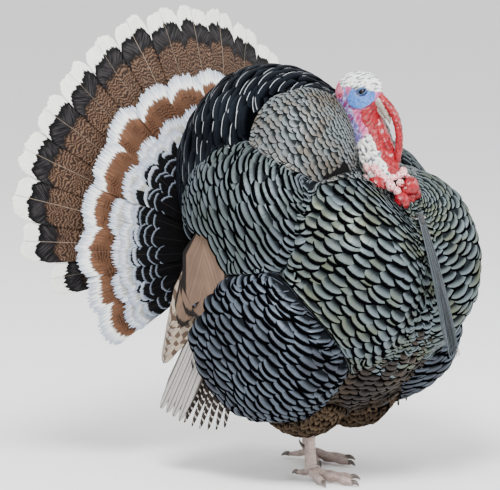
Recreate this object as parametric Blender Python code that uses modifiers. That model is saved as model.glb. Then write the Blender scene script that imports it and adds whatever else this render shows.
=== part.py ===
"""Strutting turkey decoy: a hollow two-part body on a bent leg rod, with a swivelling
head, a hanging beard, two pinned wings and a folding tail fan.
Metres, +Z up, beak towards -Y, the bird's left side towards +X, feet on Z = 0."""

import math

import bmesh
import bpy
from mathutils import Matrix, Vector

# Driving dimensions
GAP = 0.0003                                  # clearance between pieces that touch
SHELL_WALL = 0.003
BODY_HEART = Vector((0.0, -0.02, 0.36))       # every part of the skin can be seen from here
BODY_BLEND = 0.03                             # how softly one bulge of the body runs into the next
BODY_LOBES = (                                # centre and half sizes; a pair is given once, on +X
    ((0.0, 0.085, 0.485), (0.145, 0.135, 0.165)),       # back
    ((0.12, 0.0, 0.43), (0.078, 0.12, 0.10)),           # shoulder
    ((0.14, -0.045, 0.24), (0.08, 0.13, 0.115)),        # flank
    ((0.075, -0.145, 0.356), (0.09, 0.12, 0.14)),       # breast
    ((0.0, -0.13, 0.375), (0.06, 0.100, 0.13)),         # keel
    ((0.0, -0.02, 0.27), (0.155, 0.185, 0.15)),         # belly
)
NECK_BULGES = (                               # the right side of the neck is puffed out further
    ((-0.065, -0.06, 0.54), (0.078, 0.082, 0.092)),
    ((0.055, -0.035, 0.53), (0.064, 0.068, 0.078)),
)
WING_SEAT = 0.163                             # the shell is flat at this X behind the flanks
WING_SEAT_FRONT = -0.035

NECK_FOOT = Vector((0.0, -0.178, 0.483))
NECK_LEAN = math.radians(24.7)                # the neck leans back
NECK_AXIS = Vector((0.0, math.sin(NECK_LEAN), math.cos(NECK_LEAN)))
HEAD_TURN = math.radians(12.0)                # the head looks a little to the bird's left
NECK_WELL_RADIUS = 0.054                      # the body is hollowed here so that the head can turn
NECK_WELL_FLOOR = -0.040
POST_RADIUS = 0.005
HEAD_CENTRE = Vector((0.0, -0.006, 0.163))    # in the neck's own frame, as are the next ones
HEAD_RADII = Vector((0.0235, 0.037, 0.041))
EYE_PLACE = Vector((0.0220, -0.0125, 0.163))
EYE_RADII = Vector((0.0045, 0.0055, 0.0055))
NECK_TOP = 0.1145
CARUNCLE_COUNT = 7
CARUNCLE_RADIUS = 0.0155

TAIL_AXIS = Vector((0.0, 0.1557, 0.352))      # the fan turns about a line along Y through here
TAIL_SWEEP = math.tan(math.radians(20.0))     # the fan is a shallow cone, swept back
HUB_RADIUS = 0.012
HUB_FLAT = 0.02                               # the cone starts this far out
TIP_ROUNDING = 0.35
LEAF_THICKNESS = 0.0008
LEAF_PITCH = 0.0013
FEATHERS_PER_SIDE = 9
FEATHER_STEP = math.radians(11.2)
FEATHER_LENGTH = 0.400
OUTER_SHORTENING = 0.085                      # the outermost feathers are this much shorter
COVERTS_PER_SIDE = 4
COVERT_STEP = math.radians(31.25)
COVERT_LENGTH = 0.300
FAN_BOLT_RADIUS = 0.003
HINGE = Vector((0.0, 0.138, 0.326))           # the tail leans back about X here
HINGE_PIN_RADIUS = 0.003
SPINE_RADIUS = 0.009
SPINE_HEIGHT = 0.349
CLEVIS_FRONT = 0.108

WING_PIN = Vector((0.190, 0.0, 0.335))
WING_PIN_RADIUS = 0.004
WING_THICKNESS = 0.007
FLIGHT_THICKNESS = 0.006
LEFT_DROOP = math.radians(16.0)               # the left wing hangs lower than the right one

RIGHT_FOOT = Vector((-0.065, -0.06, 0.0))
LEFT_FOOT = Vector((0.065, 0.06, 0.0))
LEG_ROD_RADIUS = 0.004
LEG_ROD_END = 0.0125                          # how far above the ground the rod stops
TOES = (                                      # name, degrees from straight ahead, reach
    ("inner", -30.0, 0.066), ("middle", 0.0, 0.082), ("outer", 30.0, 0.066), ("rear", 180.0, 0.046),
)
TOE_RADIUS = 0.008
CLAW_LENGTH = 0.012
ANKLE_HEIGHT = 0.020
SHANK_TOP = 0.118

BEARD_PIVOT = Vector((0.0, -0.235, 0.44))
BEARD_TIP = Vector((0.0, -0.3091, 0.214))
STAPLE_RADIUS = 0.0015
STAPLE_HALF_WIDTH = 0.012

SHELL_BOLT_RADIUS = 0.003
SHELL_BOLTS = {"shell_bolt_front": (-0.09, 0.33), "shell_bolt_rear": (0.075, 0.44)}

for old in list(bpy.data.objects):
    bpy.data.objects.remove(old, do_unlink=True)
parts = bpy.data.collections.new("turkey_decoy")
cutters = bpy.data.collections.new("cutters")
bpy.context.scene.collection.children.link(parts)
bpy.context.scene.collection.children.link(cutters)

MATERIALS = {
    "shell": ((0.05, 0.05, 0.055), 0.6, 0.0),
    "steel": ((0.55, 0.55, 0.56), 0.35, 1.0),
    "flesh": ((0.62, 0.08, 0.10), 0.45, 0.0),
    "horn": ((0.35, 0.31, 0.26), 0.4, 0.0),
    "glass_eye": ((0.02, 0.012, 0.008), 0.08, 0.0),
    "tail_feather": ((0.32, 0.19, 0.12), 0.6, 0.0),
    "covert_feather": ((0.62, 0.52, 0.44), 0.7, 0.0),
    "wing_feather": ((0.24, 0.17, 0.13), 0.6, 0.0),
    "bristle": ((0.10, 0.11, 0.12), 0.55, 0.0),
    "leg_skin": ((0.48, 0.38, 0.34), 0.5, 0.0),
}


def material(key):
    """The shared surface of one kind of piece."""
    found = bpy.data.materials.get(key)
    if found is None:
        colour, roughness, metallic = MATERIALS[key]
        found = bpy.data.materials.new(key)
        found.use_nodes = True
        shader = found.node_tree.nodes["Principled BSDF"]
        shader.inputs["Base Color"].default_value = (*colour, 1.0)
        shader.inputs["Roughness"].default_value = roughness
        shader.inputs["Metallic"].default_value = metallic
    return found


def finish_mesh(name, shape, key, parent=None):
    """Turn a bmesh into a named object; without a material it is a cutter."""
    mesh = bpy.data.meshes.new(name)
    shape.to_mesh(mesh)
    shape.free()
    thing = bpy.data.objects.new(name, mesh)
    if key is None:
        cutters.objects.link(thing)
        thing.hide_render = True
        thing.display_type = "WIRE"
    else:
        parts.objects.link(thing)
        mesh.materials.append(material(key))
        mesh.shade_smooth()
        mesh.set_sharp_from_angle(angle=math.radians(40))
    thing.parent = parent
    return thing


def ball(name, centre, radii, key=None, parent=None, segments=20, rings=12):
    """An ellipsoid."""
    shape = bmesh.new()
    place = Matrix.Translation(centre) @ Matrix.Diagonal((*radii, 1.0))
    bmesh.ops.create_uvsphere(shape, u_segments=segments, v_segments=rings, radius=1.0, matrix=place)
    return finish_mesh(name, shape, key, parent)


def rod(name, start, end, radius, key=None, parent=None, end_radius=None, sides=20):
    """A straight round bar, or a cone when its ends differ."""
    start, end = Vector(start), Vector(end)
    along = end - start
    turn = Vector((0, 0, 1)).rotation_difference(along).to_matrix().to_4x4()
    shape = bmesh.new()
    bmesh.ops.create_cone(
        shape, cap_ends=True, segments=sides, radius1=radius,
        radius2=radius if end_radius is None else end_radius, depth=along.length,
        matrix=Matrix.Translation((start + end) / 2) @ turn)
    return finish_mesh(name, shape, key, parent)


def box(name, low, high, key=None, parent=None):
    """A block between two corners."""
    low, high = Vector(low), Vector(high)
    size = [abs(value) for value in high - low]
    shape = bmesh.new()
    place = Matrix.Translation((low + high) / 2) @ Matrix.Diagonal((*size, 1.0))
    bmesh.ops.create_cube(shape, size=1.0, matrix=place)
    return finish_mesh(name, shape, key, parent)


def bar_curve(name, points, radii, key, parent=None, resolution=2, flatten=None):
    """A bent bar through the points, with its own thickness at each."""
    curve = bpy.data.curves.new(name, "CURVE")
    curve.dimensions = "3D"
    curve.bevel_depth = 1.0
    curve.bevel_resolution = resolution
    curve.use_fill_caps = True
    line = curve.splines.new("POLY")
    line.points.add(len(points) - 1)
    for spot, place, radius in zip(line.points, points, radii):
        spot.co = (*place, 1.0)
        spot.radius = radius
    guide = bpy.data.objects.new(name, curve)
    cutters.objects.link(guide)
    bpy.context.view_layer.update()
    mesh = bpy.data.meshes.new_from_object(guide.evaluated_get(bpy.context.evaluated_depsgraph_get()))
    bpy.data.objects.remove(guide, do_unlink=True)
    shape = bmesh.new()
    shape.from_mesh(mesh)
    bmesh.ops.remove_doubles(shape, verts=shape.verts, dist=0.00001)
    if flatten is not None:
        shape.transform(flatten)
    bmesh.ops.recalc_face_normals(shape, faces=shape.faces)
    return finish_mesh(name, shape, key, parent)


def plate(name, outline, thickness, key, parent=None):
    """A flat sheet in the YZ plane, with the outline's points in order."""
    shape = bmesh.new()
    corners = [shape.verts.new((-thickness / 2, y, z)) for y, z in outline]
    face = shape.faces.new(corners)
    pushed = bmesh.ops.extrude_face_region(shape, geom=[face])["geom"]
    moved = [item for item in pushed if isinstance(item, bmesh.types.BMVert)]
    bmesh.ops.translate(shape, verts=moved, vec=(thickness, 0.0, 0.0))
    bmesh.ops.recalc_face_normals(shape, faces=shape.faces)
    return finish_mesh(name, shape, key, parent)


def combine(thing, other, operation):
    """Add or take away another solid."""
    step = thing.modifiers.new(operation.lower(), "BOOLEAN")
    step.operation = operation
    step.solver = "EXACT"
    step.object = other


def cut(thing, *others):
    for other in others:
        combine(thing, other, "DIFFERENCE")


def join(thing, *others):
    for other in others:
        combine(thing, other, "UNION")


def pivot(name, place, parent=None):
    """An empty on a joint's axis."""
    empty = bpy.data.objects.new(name, None)
    empty.empty_display_size = 0.03
    empty.location = place
    parts.objects.link(empty)
    empty.parent = parent
    return empty


# Body: bulges that run into each other, flattened where the fan and the wings stand against it
def soft_minimum(first, second, blend):
    share = max(blend - abs(first - second), 0.0) / blend
    return min(first, second) - share * share * blend / 4


def neck_coordinates(point):
    """Height along the neck's axis and distance from it."""
    offset = point - NECK_FOOT
    height = offset.dot(NECK_AXIS)
    return height, (offset - NECK_AXIS * height).length


def body_field(point):
    """Negative inside the body, positive outside it."""
    field = 1.0
    folded = Vector((abs(point.x), point.y, point.z))
    for lobes, place in ((BODY_LOBES, folded), (NECK_BULGES, point)):
        for centre, radii in lobes:
            scaled = Vector([(at - middle) / size for at, middle, size in zip(place, centre, radii)])
            field = soft_minimum(field, (scaled.length - 1.0) * min(radii), BODY_BLEND)
    height, distance = neck_coordinates(point)
    well = min(NECK_WELL_RADIUS - distance, height - NECK_WELL_FLOOR)
    above_fan = max(point.z - TAIL_AXIS.z - HUB_FLAT, 0.0)
    rear = point.y - (TAIL_AXIS.y - 0.012 + TAIL_SWEEP * above_fan)
    side = abs(point.x) - WING_SEAT - 2.0 * max(WING_SEAT_FRONT - point.y, 0.0)
    return max(field, well, rear, side)


def skin_distance(direction):
    """How far the skin is from the heart of the body, along a direction."""
    step = 0.004
    reach = step
    while body_field(BODY_HEART + direction * reach) < 0.0:
        reach += step
    near, far = reach - step, reach
    for _ in range(14):
        middle = (near + far) / 2
        if body_field(BODY_HEART + direction * middle) < 0.0:
            near = middle
        else:
            far = middle
    return near


def body_shells(openings):
    """The two half shells, from one closed form cut down the middle."""
    shape = bmesh.new()
    bmesh.ops.create_uvsphere(shape, u_segments=38, v_segments=23, radius=1.0,
                              matrix=Matrix.Rotation(math.pi / 2, 4, "Y"))
    for vertex in shape.verts:
        direction = vertex.co.normalized()
        vertex.co = BODY_HEART + direction * skin_distance(direction)
    form = finish_mesh("body_form", shape, None)
    for side, name in ((-1, "body_shell_right"), (1, "body_shell_left")):
        shell = bpy.data.objects.new(name, form.data.copy())
        parts.objects.link(shell)
        shell.data.materials.append(material("shell"))
        shell.data.shade_smooth()
        wall = shell.modifiers.new("wall", "SOLIDIFY")
        wall.thickness = SHELL_WALL
        wall.offset = -1.0
        other_half = box(name + "_seam", (-side * 0.5, -0.5, -0.1), (side * GAP / 2, 0.5, 0.9))
        cut(shell, other_half, *openings)


def skin_side(y, z):
    """The shell's X at a height and a place along the body."""
    near, far = 0.0, 0.4
    for _ in range(20):
        middle = (near + far) / 2
        if body_field(Vector((middle, y, z))) < 0.0:
            near = middle
        else:
            far = middle
    return near


# Frame inside the body
def frame():
    """Spine tube, neck socket, shell bolts and the bent rod that both legs slide over."""
    socket_foot = NECK_FOOT - NECK_AXIS * 0.070
    socket = rod("neck_socket", socket_foot, NECK_FOOT - NECK_AXIS * 0.0325, 0.011, "shell")
    cut(socket, rod("neck_bore", socket_foot - NECK_AXIS * 0.010, NECK_FOOT, POST_RADIUS + GAP))
    front = socket_foot - NECK_AXIS * GAP
    bend = front - NECK_AXIS * 0.035
    spine = [front, bend, (0.0, bend.y + 0.03, SPINE_HEIGHT), (0.0, CLEVIS_FRONT, SPINE_HEIGHT)]
    bar_curve("spine_tube", spine, [SPINE_RADIUS] * len(spine), "steel", resolution=3)
    cross_height = SPINE_HEIGHT - SPINE_RADIUS - LEG_ROD_RADIUS - 2 * GAP
    ends = [foot + Vector((0.0, 0.0, height)) for foot, height in (
        (RIGHT_FOOT, LEG_ROD_END), (RIGHT_FOOT, cross_height),
        (LEFT_FOOT, cross_height), (LEFT_FOOT, LEG_ROD_END))]
    bar_curve("leg_rod", ends, [LEG_ROD_RADIUS] * len(ends), "steel", resolution=2)
    for name, (y, z) in SHELL_BOLTS.items():
        reach = skin_side(y, z) + 0.006
        bolt = rod(name, (-reach, y, z), (reach, y, z), SHELL_BOLT_RADIUS, "steel", sides=14)
        for side in (-1, 1):
            inner, outer = side * (reach - 0.0004), side * (reach + 0.003)
            join(bolt, rod(name + "_end", (inner, y, z), (outer, y, z), SHELL_BOLT_RADIUS * 2, sides=6))


def tail_hinge(tail):
    """Clevis on the spine, hinge pin, and the bracket that carries the fan."""
    low, high = HINGE.z - 0.008, TAIL_AXIS.z + 0.010
    clevis = box("tail_clevis", (-0.014, CLEVIS_FRONT + GAP, low), (0.014, HINGE.y + 0.008, high), "steel")
    slot = box("clevis_slot", (-0.0078, 0.120, low - 0.01), (0.0078, 0.2, high + 0.01))
    ledge = box("clevis_ledge", (-0.02, 0.120, HINGE.z + 0.008), (0.02, 0.2, high + 0.01))
    pin_hole = rod("hinge_bore", (-0.03, HINGE.y, HINGE.z), (0.03, HINGE.y, HINGE.z), HINGE_PIN_RADIUS + GAP)
    cut(clevis, slot, ledge, pin_hole)
    rod("tail_hinge_pin", (-0.017, HINGE.y, HINGE.z), (0.017, HINGE.y, HINGE.z), HINGE_PIN_RADIUS, "steel")
    plate_front, plate_back = TAIL_AXIS.y - 0.0056, TAIL_AXIS.y - GAP - LEAF_THICKNESS / 2
    bracket = box("tail_bracket", local(tail, (-0.018, plate_front, HINGE.z - 0.008)),
                  local(tail, (0.018, plate_back, TAIL_AXIS.z + 0.018)), "steel", tail)
    knuckle = box("bracket_knuckle", local(tail, (-0.0075, HINGE.y - 0.007, HINGE.z - 0.007)),
                  local(tail, (0.0075, plate_front + 0.002, HINGE.z + 0.007)), None, tail)
    bore = rod("knuckle_bore", (-0.03, 0.0, 0.0), (0.03, 0.0, 0.0), HINGE_PIN_RADIUS + GAP, None, tail)
    bolt_bore = fan_rod("fan_bore", plate_front - 0.02, 0.25, FAN_BOLT_RADIUS + GAP, None, tail, sides=12)
    join(bracket, knuckle)
    cut(bracket, bore, bolt_bore)
    stack = 2 * (FEATHERS_PER_SIDE + COVERTS_PER_SIDE) * LEAF_PITCH
    nut_front = TAIL_AXIS.y + stack
    bolt = fan_rod("fan_bolt", plate_front - 0.001, nut_front + 0.012, FAN_BOLT_RADIUS, "steel", tail)
    join(bolt, fan_rod("fan_bolt_head", plate_front - 0.003, plate_front - GAP, 0.0055, None, tail, sides=6))
    nut = fan_rod("fan_nut", nut_front, nut_front + 0.008, 0.007, "steel", tail)
    wings = box("nut_wings", local(tail, (-0.018, nut_front + 0.002, TAIL_AXIS.z - 0.003)),
                local(tail, (0.018, nut_front + 0.010, TAIL_AXIS.z + 0.003)), None, tail)
    join(nut, wings)
    cut(nut, bolt_bore)
    return bolt_bore


def local(empty, point):
    return Vector(point) - empty.location


def fan_rod(name, start, end, radius, key, tail, sides=20):
    """A round bar along the fan's axis, between two places along Y."""
    return rod(name, local(tail, (0.0, start, TAIL_AXIS.z)), local(tail, (0.0, end, TAIL_AXIS.z)), radius,
               key, tail, sides=sides)


# Tail: every feather is a strip of the same shallow cone, one behind the next, on one bolt
def leaf(name, level, angle, length, base_width, spread, key, tail, bore, rows, columns):
    """One leaf of the fan: half its width is base_width plus spread times the distance out."""
    axis = pivot(name + "_pivot", local(tail, TAIL_AXIS + Vector((0.0, level * LEAF_PITCH, 0.0))), tail)
    axis.rotation_euler.y = angle
    shape = bmesh.new()
    bmesh.ops.create_grid(shape, x_segments=columns, y_segments=rows, size=1.0)
    for vertex in shape.verts:
        across, row = vertex.co.x, round((vertex.co.y + 1.0) / 2 * rows)
        if row == 0:
            vertex.co = (across * HUB_RADIUS * 0.8, 0.0, -HUB_RADIUS)
            continue
        out = HUB_FLAT + (length - HUB_FLAT) * (row - 1) / (rows - 1)
        turn = across * (base_width + spread * out) / out
        if row == rows:
            out -= TIP_ROUNDING * (base_width + spread * out) * across ** 2
        vertex.co = (out * math.sin(turn), TAIL_SWEEP * (out - HUB_FLAT), out * math.cos(turn))
    sheet = bmesh.ops.extrude_face_region(shape, geom=shape.faces[:])["geom"]
    moved = [item for item in sheet if isinstance(item, bmesh.types.BMVert)]
    bmesh.ops.translate(shape, verts=moved, vec=(0.0, LEAF_THICKNESS, 0.0))
    bmesh.ops.translate(shape, verts=shape.verts, vec=(0.0, -LEAF_THICKNESS / 2, 0.0))
    bmesh.ops.recalc_face_normals(shape, faces=shape.faces)
    blade = finish_mesh(name, shape, key, axis)
    cut(blade, bore)


def tail_fan(tail, bore):
    """Short covert leaves in front, then the long tail feathers, the middle pair first."""
    level = 0
    for number in range(1, COVERTS_PER_SIDE + 1):
        for side, word in ((-1, "right"), (1, "left")):
            leaf(f"covert_{word}_{number}", level, side * (number - 0.5) * COVERT_STEP, COVERT_LENGTH,
                 0.0, 0.33, "covert_feather", tail, bore, rows=3, columns=6)
            level += 1
    for number in range(1, FEATHERS_PER_SIDE + 1):
        shorter = OUTER_SHORTENING * (max(number - 6.5, 0.0) / (FEATHERS_PER_SIDE - 6.5)) ** 1.5
        for side, word in ((-1, "right"), (1, "left")):
            leaf(f"tail_feather_{word}_{number}", level, side * (number - 0.5) * FEATHER_STEP,
                 FEATHER_LENGTH - shorter, 0.0046, 0.092, "tail_feather", tail, bore, rows=4, columns=3)
            level += 1


# Head and neck, drawn upright in the neck's own frame and leaned back by their pivot
def head_and_neck(neck):
    """Post, neck, head, beak, snood, eyes, dewlap and caruncles, all on the neck's pivot."""
    rod("neck_post", (0, 0, -0.068), (0, 0, 0.1285), POST_RADIUS, "steel", neck, sides=16)
    post_bore = rod("post_bore", (0, 0, -0.08), (0, 0, 0.129), POST_RADIUS + GAP, None, neck)
    skin = rod("neck", (0, 0.003, 0.0123), (0, 0.003, NECK_TOP), 0.0255, "flesh", neck, end_radius=0.0225)
    cut(skin, post_bore)
    head = ball("head", HEAD_CENTRE, HEAD_RADII, "flesh", neck)
    neck_top = rod("neck_top", (0, 0.003, 0.05), (0, 0.003, NECK_TOP + GAP), 0.034, None, neck)
    cut(head, post_bore, neck_top)
    clearance = Vector((GAP, GAP, GAP))
    beak_root = ball("beak_root", HEAD_CENTRE, HEAD_RADII + clearance, None, neck)
    upper = rod("beak_upper", (0, -0.014, 0.150), (0, -0.0435, 0.104), 0.0105, "horn", neck, 0.0015, 14)
    split = rod("beak_split", (0, -0.005, 0.1445), (0, -0.0365, 0.1015), 0.0092, None, neck, 0.0024, 14)
    cut(upper, beak_root, split)
    lower = rod("beak_lower", (0, -0.005, 0.1445), (0, -0.0355, 0.1030), 0.0086, "horn", neck, 0.0015, 14)
    cut(lower, beak_root, rod("throat_top", (0, 0.003, 0.05), (0, 0.003, 0.115), 0.0235, None, neck))
    bar_curve("snood", [(0, -0.0480, 0.160), (0, -0.053, 0.141), (0, -0.0615, 0.115), (0, -0.0575, 0.085),
                        (0, -0.047, 0.058), (0, -0.041, 0.036)],
              [0.0045, 0.0062, 0.0066, 0.0066, 0.0062, 0.003], "flesh", neck)
    for side, word in ((-1, "right"), (1, "left")):
        place = EYE_PLACE * Vector((side, 1.0, 1.0))
        ball(f"eye_{word}", place, EYE_RADII, "glass_eye", neck, 12, 6)
        cut(head, ball(f"eye_socket_{word}", place, EYE_RADII + clearance, None, neck, 12, 6))
    throat = ball("dewlap", (0, -0.026, 0.060), (0.007, 0.013, 0.036), "flesh", neck, 14, 8)
    cut(throat, rod("throat_line", (0, 0.003, 0.0), (0, 0.003, 0.13), 0.0260, None, neck, 0.0226, 24))
    lumps = ball("caruncles", (0, -0.003, -0.008), (0.030, 0.030, 0.020), "flesh", neck, 14, 8)
    for number in range(CARUNCLE_COUNT):
        angle = 2 * math.pi * number / CARUNCLE_COUNT
        place = (0.025 * math.sin(angle), -0.004 - 0.024 * math.cos(angle), -0.009 - 0.005 * math.cos(angle))
        join(lumps, ball(f"caruncle_{number}", place, [CARUNCLE_RADIUS] * 3, None, neck, 10, 6))
    above = box("above_caruncles", (-0.06, -0.06, 0.012), (0.06, 0.06, 0.06), None, neck)
    below = box("below_caruncles", (-0.06, -0.06, -0.07), (0.06, 0.06, -0.0300), None, neck)
    cut(lumps, above, below, post_bore)


def legs():
    """Each foot stands flat, with its shank sleeved over the leg rod."""
    for foot, word in ((RIGHT_FOOT, "right"), (LEFT_FOOT, "left")):
        place = pivot(f"leg_{word}_place", foot)
        rod_bore = rod(f"rod_bore_{word}", (0, 0, LEG_ROD_END - GAP), (0, 0, 0.2), LEG_ROD_RADIUS + GAP,
                       None, place)
        sole = box(f"ground_{word}", (-0.2, -0.2, -0.1), (0.2, 0.2, 0.0), None, place)
        palm = ball(f"foot_{word}", (0, -0.004, 0.009), (0.015, 0.019, 0.0100), "leg_skin", place, 12, 8)
        for name, degrees, reach in TOES:
            turn = math.radians(degrees)
            heading = Vector((math.sin(turn), -math.cos(turn), 0))
            start = heading * 0.004 + Vector((0, 0, 0.0085))
            end = heading * reach + Vector((0, 0, 0.0045))
            join(palm, rod(f"toe_{name}_{word}", start, end, TOE_RADIUS, None, place, TOE_RADIUS * 0.7, 8))
            start = heading * (reach - 0.002) + Vector((0, 0, 0.0046))
            end = heading * (reach + CLAW_LENGTH) + Vector((0, 0, 0.0012))
            join(palm, rod(f"claw_{name}_{word}", start, end, TOE_RADIUS * 0.6, None, place, 0.0010, 6))
        ankle = rod(f"ankle_{word}", (0, 0, 0.008), (0, 0, ANKLE_HEIGHT - GAP), 0.0095, None, place)
        join(palm, ankle)
        cut(palm, sole, rod_bore)
        heights = (ANKLE_HEIGHT, 0.045, 0.085, SHANK_TOP)
        shank = bar_curve(f"leg_{word}", [(0, 0, height) for height in heights],
                          [0.0088, 0.0080, 0.0098, 0.0145], "leg_skin", place)
        spur = rod(f"spur_{word}", (0, 0.004, 0.050), (0, 0.024, 0.058), 0.0045, None, place, 0.0008, 10)
        join(shank, spur)
        cut(shank, rod_bore)


def wings():
    """Each wing is a shoulder panel with the long flight feathers behind it, on one pin."""
    panel = [
        (-0.032, 0.018), (-0.015, 0.036), (0.010, 0.043), (0.060, 0.039), (0.115, 0.022), (0.150, -0.025),
        (0.160, -0.090), (0.158, -0.160), (0.142, -0.200), (0.100, -0.205), (0.060, -0.165), (0.020, -0.105),
        (-0.020, -0.050), (-0.036, -0.010),
    ]
    tips = [(0.030, -0.110)]
    for number in range(6):
        angle = math.radians(12 + 5 * number)
        reach = 0.300 - 0.0025 * (number - 2) ** 2
        for turn, radius in ((-1.6, reach - 0.012), (0.3, reach), (1.9, reach - 0.014), (2.5, reach - 0.040)):
            side = angle + math.radians(turn)
            tips.append((radius * math.sin(side), -radius * math.cos(side)))
    tips.append((0.150, -0.130))
    for side, word in ((-1, "right"), (1, "left")):
        hinge = pivot(f"wing_{word}_pivot", (side * WING_PIN.x, WING_PIN.y, WING_PIN.z))
        hinge.rotation_euler.x = -LEFT_DROOP if side > 0 else 0.0
        board = plate(f"wing_{word}", panel, WING_THICKNESS, "wing_feather", hinge)
        cut(board, rod(f"wing_bore_{word}", (-0.05, 0, 0), (0.05, 0, 0), WING_PIN_RADIUS + GAP, None, hinge))
        quills = plate(f"flight_feathers_{word}", tips, FLIGHT_THICKNESS, "wing_feather", hinge)
        quills.location.x = -side * (WING_THICKNESS / 2 + FLIGHT_THICKNESS / 2 + GAP)
        head_start = WING_PIN.x + WING_THICKNESS / 2 + GAP
        pin = rod(f"wing_pin_{word}", (side * 0.145, WING_PIN.y, WING_PIN.z),
                  (side * (head_start + 0.001), WING_PIN.y, WING_PIN.z), WING_PIN_RADIUS, "steel", sides=16)
        join(pin, rod(f"wing_pin_head_{word}", (side * head_start, WING_PIN.y, WING_PIN.z),
                      (side * (head_start + 0.003), WING_PIN.y, WING_PIN.z), 0.009, sides=16))


def beard():
    """A bristle hank that swings on a wire staple in the breast."""
    swing = pivot("beard_pivot", BEARD_PIVOT)
    tip = BEARD_TIP - BEARD_PIVOT
    points = [tip * t for t in (-0.024, 0.06, 0.30, 0.60, 0.88, 1.0)]
    hank = bar_curve("beard", points, [0.0045, 0.0055, 0.0085, 0.0115, 0.0140, 0.0100], "bristle", swing)
    cut(hank, rod("beard_eye", (-0.03, 0, 0), (0.03, 0, 0), STAPLE_RADIUS + GAP, None, swing, sides=12))
    back = Vector((0.0, 0.024, 0.004))
    corners = [BEARD_PIVOT + Vector((side * STAPLE_HALF_WIDTH, 0, 0)) for side in (-1, 1)]
    wire = [corners[0] + back, corners[0], corners[1], corners[1] + back]
    bar_curve("beard_staple", wire, [STAPLE_RADIUS] * 4, "steel")
    return [rod(f"staple_bore_{number}", corner + back * 0.1, corner + back * 1.2, STAPLE_RADIUS * 1.5)
            for number, corner in enumerate(corners)]


neck = pivot("neck_pivot", NECK_FOOT)
neck.rotation_euler = (Matrix.Rotation(-NECK_LEAN, 3, "X") @ Matrix.Rotation(HEAD_TURN, 3, "Z")).to_euler()
tail = pivot("tail_pivot", HINGE)
bore = tail_hinge(tail)
tail_fan(tail, bore)
head_and_neck(neck)
frame()
legs()
wings()
openings = beard()
openings.append(rod("neck_opening", NECK_FOOT - NECK_AXIS * 0.075, NECK_FOOT + NECK_AXIS * 0.01, 0.0125))
openings.append(box("tail_opening", (-0.019, 0.09, HINGE.z - 0.011), (0.019, 0.2, TAIL_AXIS.z + 0.013)))
for foot in (RIGHT_FOOT, LEFT_FOOT):
    low, high = foot + Vector((0, 0, 0.05)), foot + Vector((0, 0, 0.2))
    openings.append(rod("leg_opening", low, high, LEG_ROD_RADIUS * 1.5))
for y, z in SHELL_BOLTS.values():
    openings.append(rod("bolt_opening", (-0.3, y, z), (0.3, y, z), SHELL_BOLT_RADIUS + GAP))
openings.append(rod("wing_pin_opening", (-0.3, WING_PIN.y, WING_PIN.z), (0.3, WING_PIN.y, WING_PIN.z),
                    WING_PIN_RADIUS + GAP))
body_shells(openings)
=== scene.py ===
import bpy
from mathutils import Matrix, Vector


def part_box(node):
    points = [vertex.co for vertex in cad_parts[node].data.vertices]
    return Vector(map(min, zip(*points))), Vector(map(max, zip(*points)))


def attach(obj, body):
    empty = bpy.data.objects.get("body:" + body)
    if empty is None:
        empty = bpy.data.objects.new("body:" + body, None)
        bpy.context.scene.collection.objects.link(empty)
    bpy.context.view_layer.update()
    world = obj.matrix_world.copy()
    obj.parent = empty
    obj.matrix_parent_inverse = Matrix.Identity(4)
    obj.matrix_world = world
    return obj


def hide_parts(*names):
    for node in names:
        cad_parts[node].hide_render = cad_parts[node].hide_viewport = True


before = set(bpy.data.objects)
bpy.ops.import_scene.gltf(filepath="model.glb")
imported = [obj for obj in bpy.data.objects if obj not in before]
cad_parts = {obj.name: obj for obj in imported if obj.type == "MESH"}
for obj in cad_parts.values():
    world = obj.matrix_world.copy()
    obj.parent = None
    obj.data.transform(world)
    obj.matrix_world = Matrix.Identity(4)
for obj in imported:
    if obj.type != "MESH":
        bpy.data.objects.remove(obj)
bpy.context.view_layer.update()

import math

import bmesh
import bpy
import numpy as np
from mathutils import Matrix, Vector, noise

# ---------------------------------------------------------------------------------------------
# Studio: a pale seamless floor under a white sky, one big soft lamp above the decoy's right side
# and a weaker one from its left. The camera stands off the right shoulder, a little above it.
# ---------------------------------------------------------------------------------------------
SIGHT = Vector((-0.736, -0.663, 0.139)).normalized()
LOOK_AT = Vector((-0.0279, 0.1081, 0.3673))
CAMERA_DISTANCE = 8.0
camera_data = bpy.data.cameras.new("studio_camera")
camera_data.lens = 349.0
camera_data.sensor_width = 36.0
camera = bpy.data.objects.new("studio_camera", camera_data)
camera.location = LOOK_AT + CAMERA_DISTANCE * SIGHT
camera.rotation_mode = "QUATERNION"
camera.rotation_quaternion = SIGHT.to_track_quat("Z", "Y")
bpy.context.scene.collection.objects.link(camera)
bpy.context.scene.camera = camera

sky = bpy.data.worlds.new("studio_sky")
sky.use_nodes = True
sky.node_tree.nodes["Background"].inputs["Color"].default_value = (1.0, 1.0, 1.0, 1.0)
sky.node_tree.nodes["Background"].inputs["Strength"].default_value = 1.25
bpy.context.scene.world = sky

for lamp_name, stand, power, width in (
    ("key_lamp", (-1.7, -1.1, 2.9), 190.0, 1.1),
    ("side_lamp", (2.0, -2.2, 2.0), 75.0, 1.6),
    ("back_lamp", (-0.6, 2.4, 2.2), 35.0, 1.8),
):
    lamp_data = bpy.data.lights.new(lamp_name, "AREA")
    lamp_data.energy = power
    lamp_data.size = width
    lamp = bpy.data.objects.new(lamp_name, lamp_data)
    lamp.location = stand
    lamp.rotation_mode = "QUATERNION"
    lamp.rotation_quaternion = (Vector(stand) - LOOK_AT).to_track_quat("Z", "Y")
    bpy.context.scene.collection.objects.link(lamp)


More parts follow.
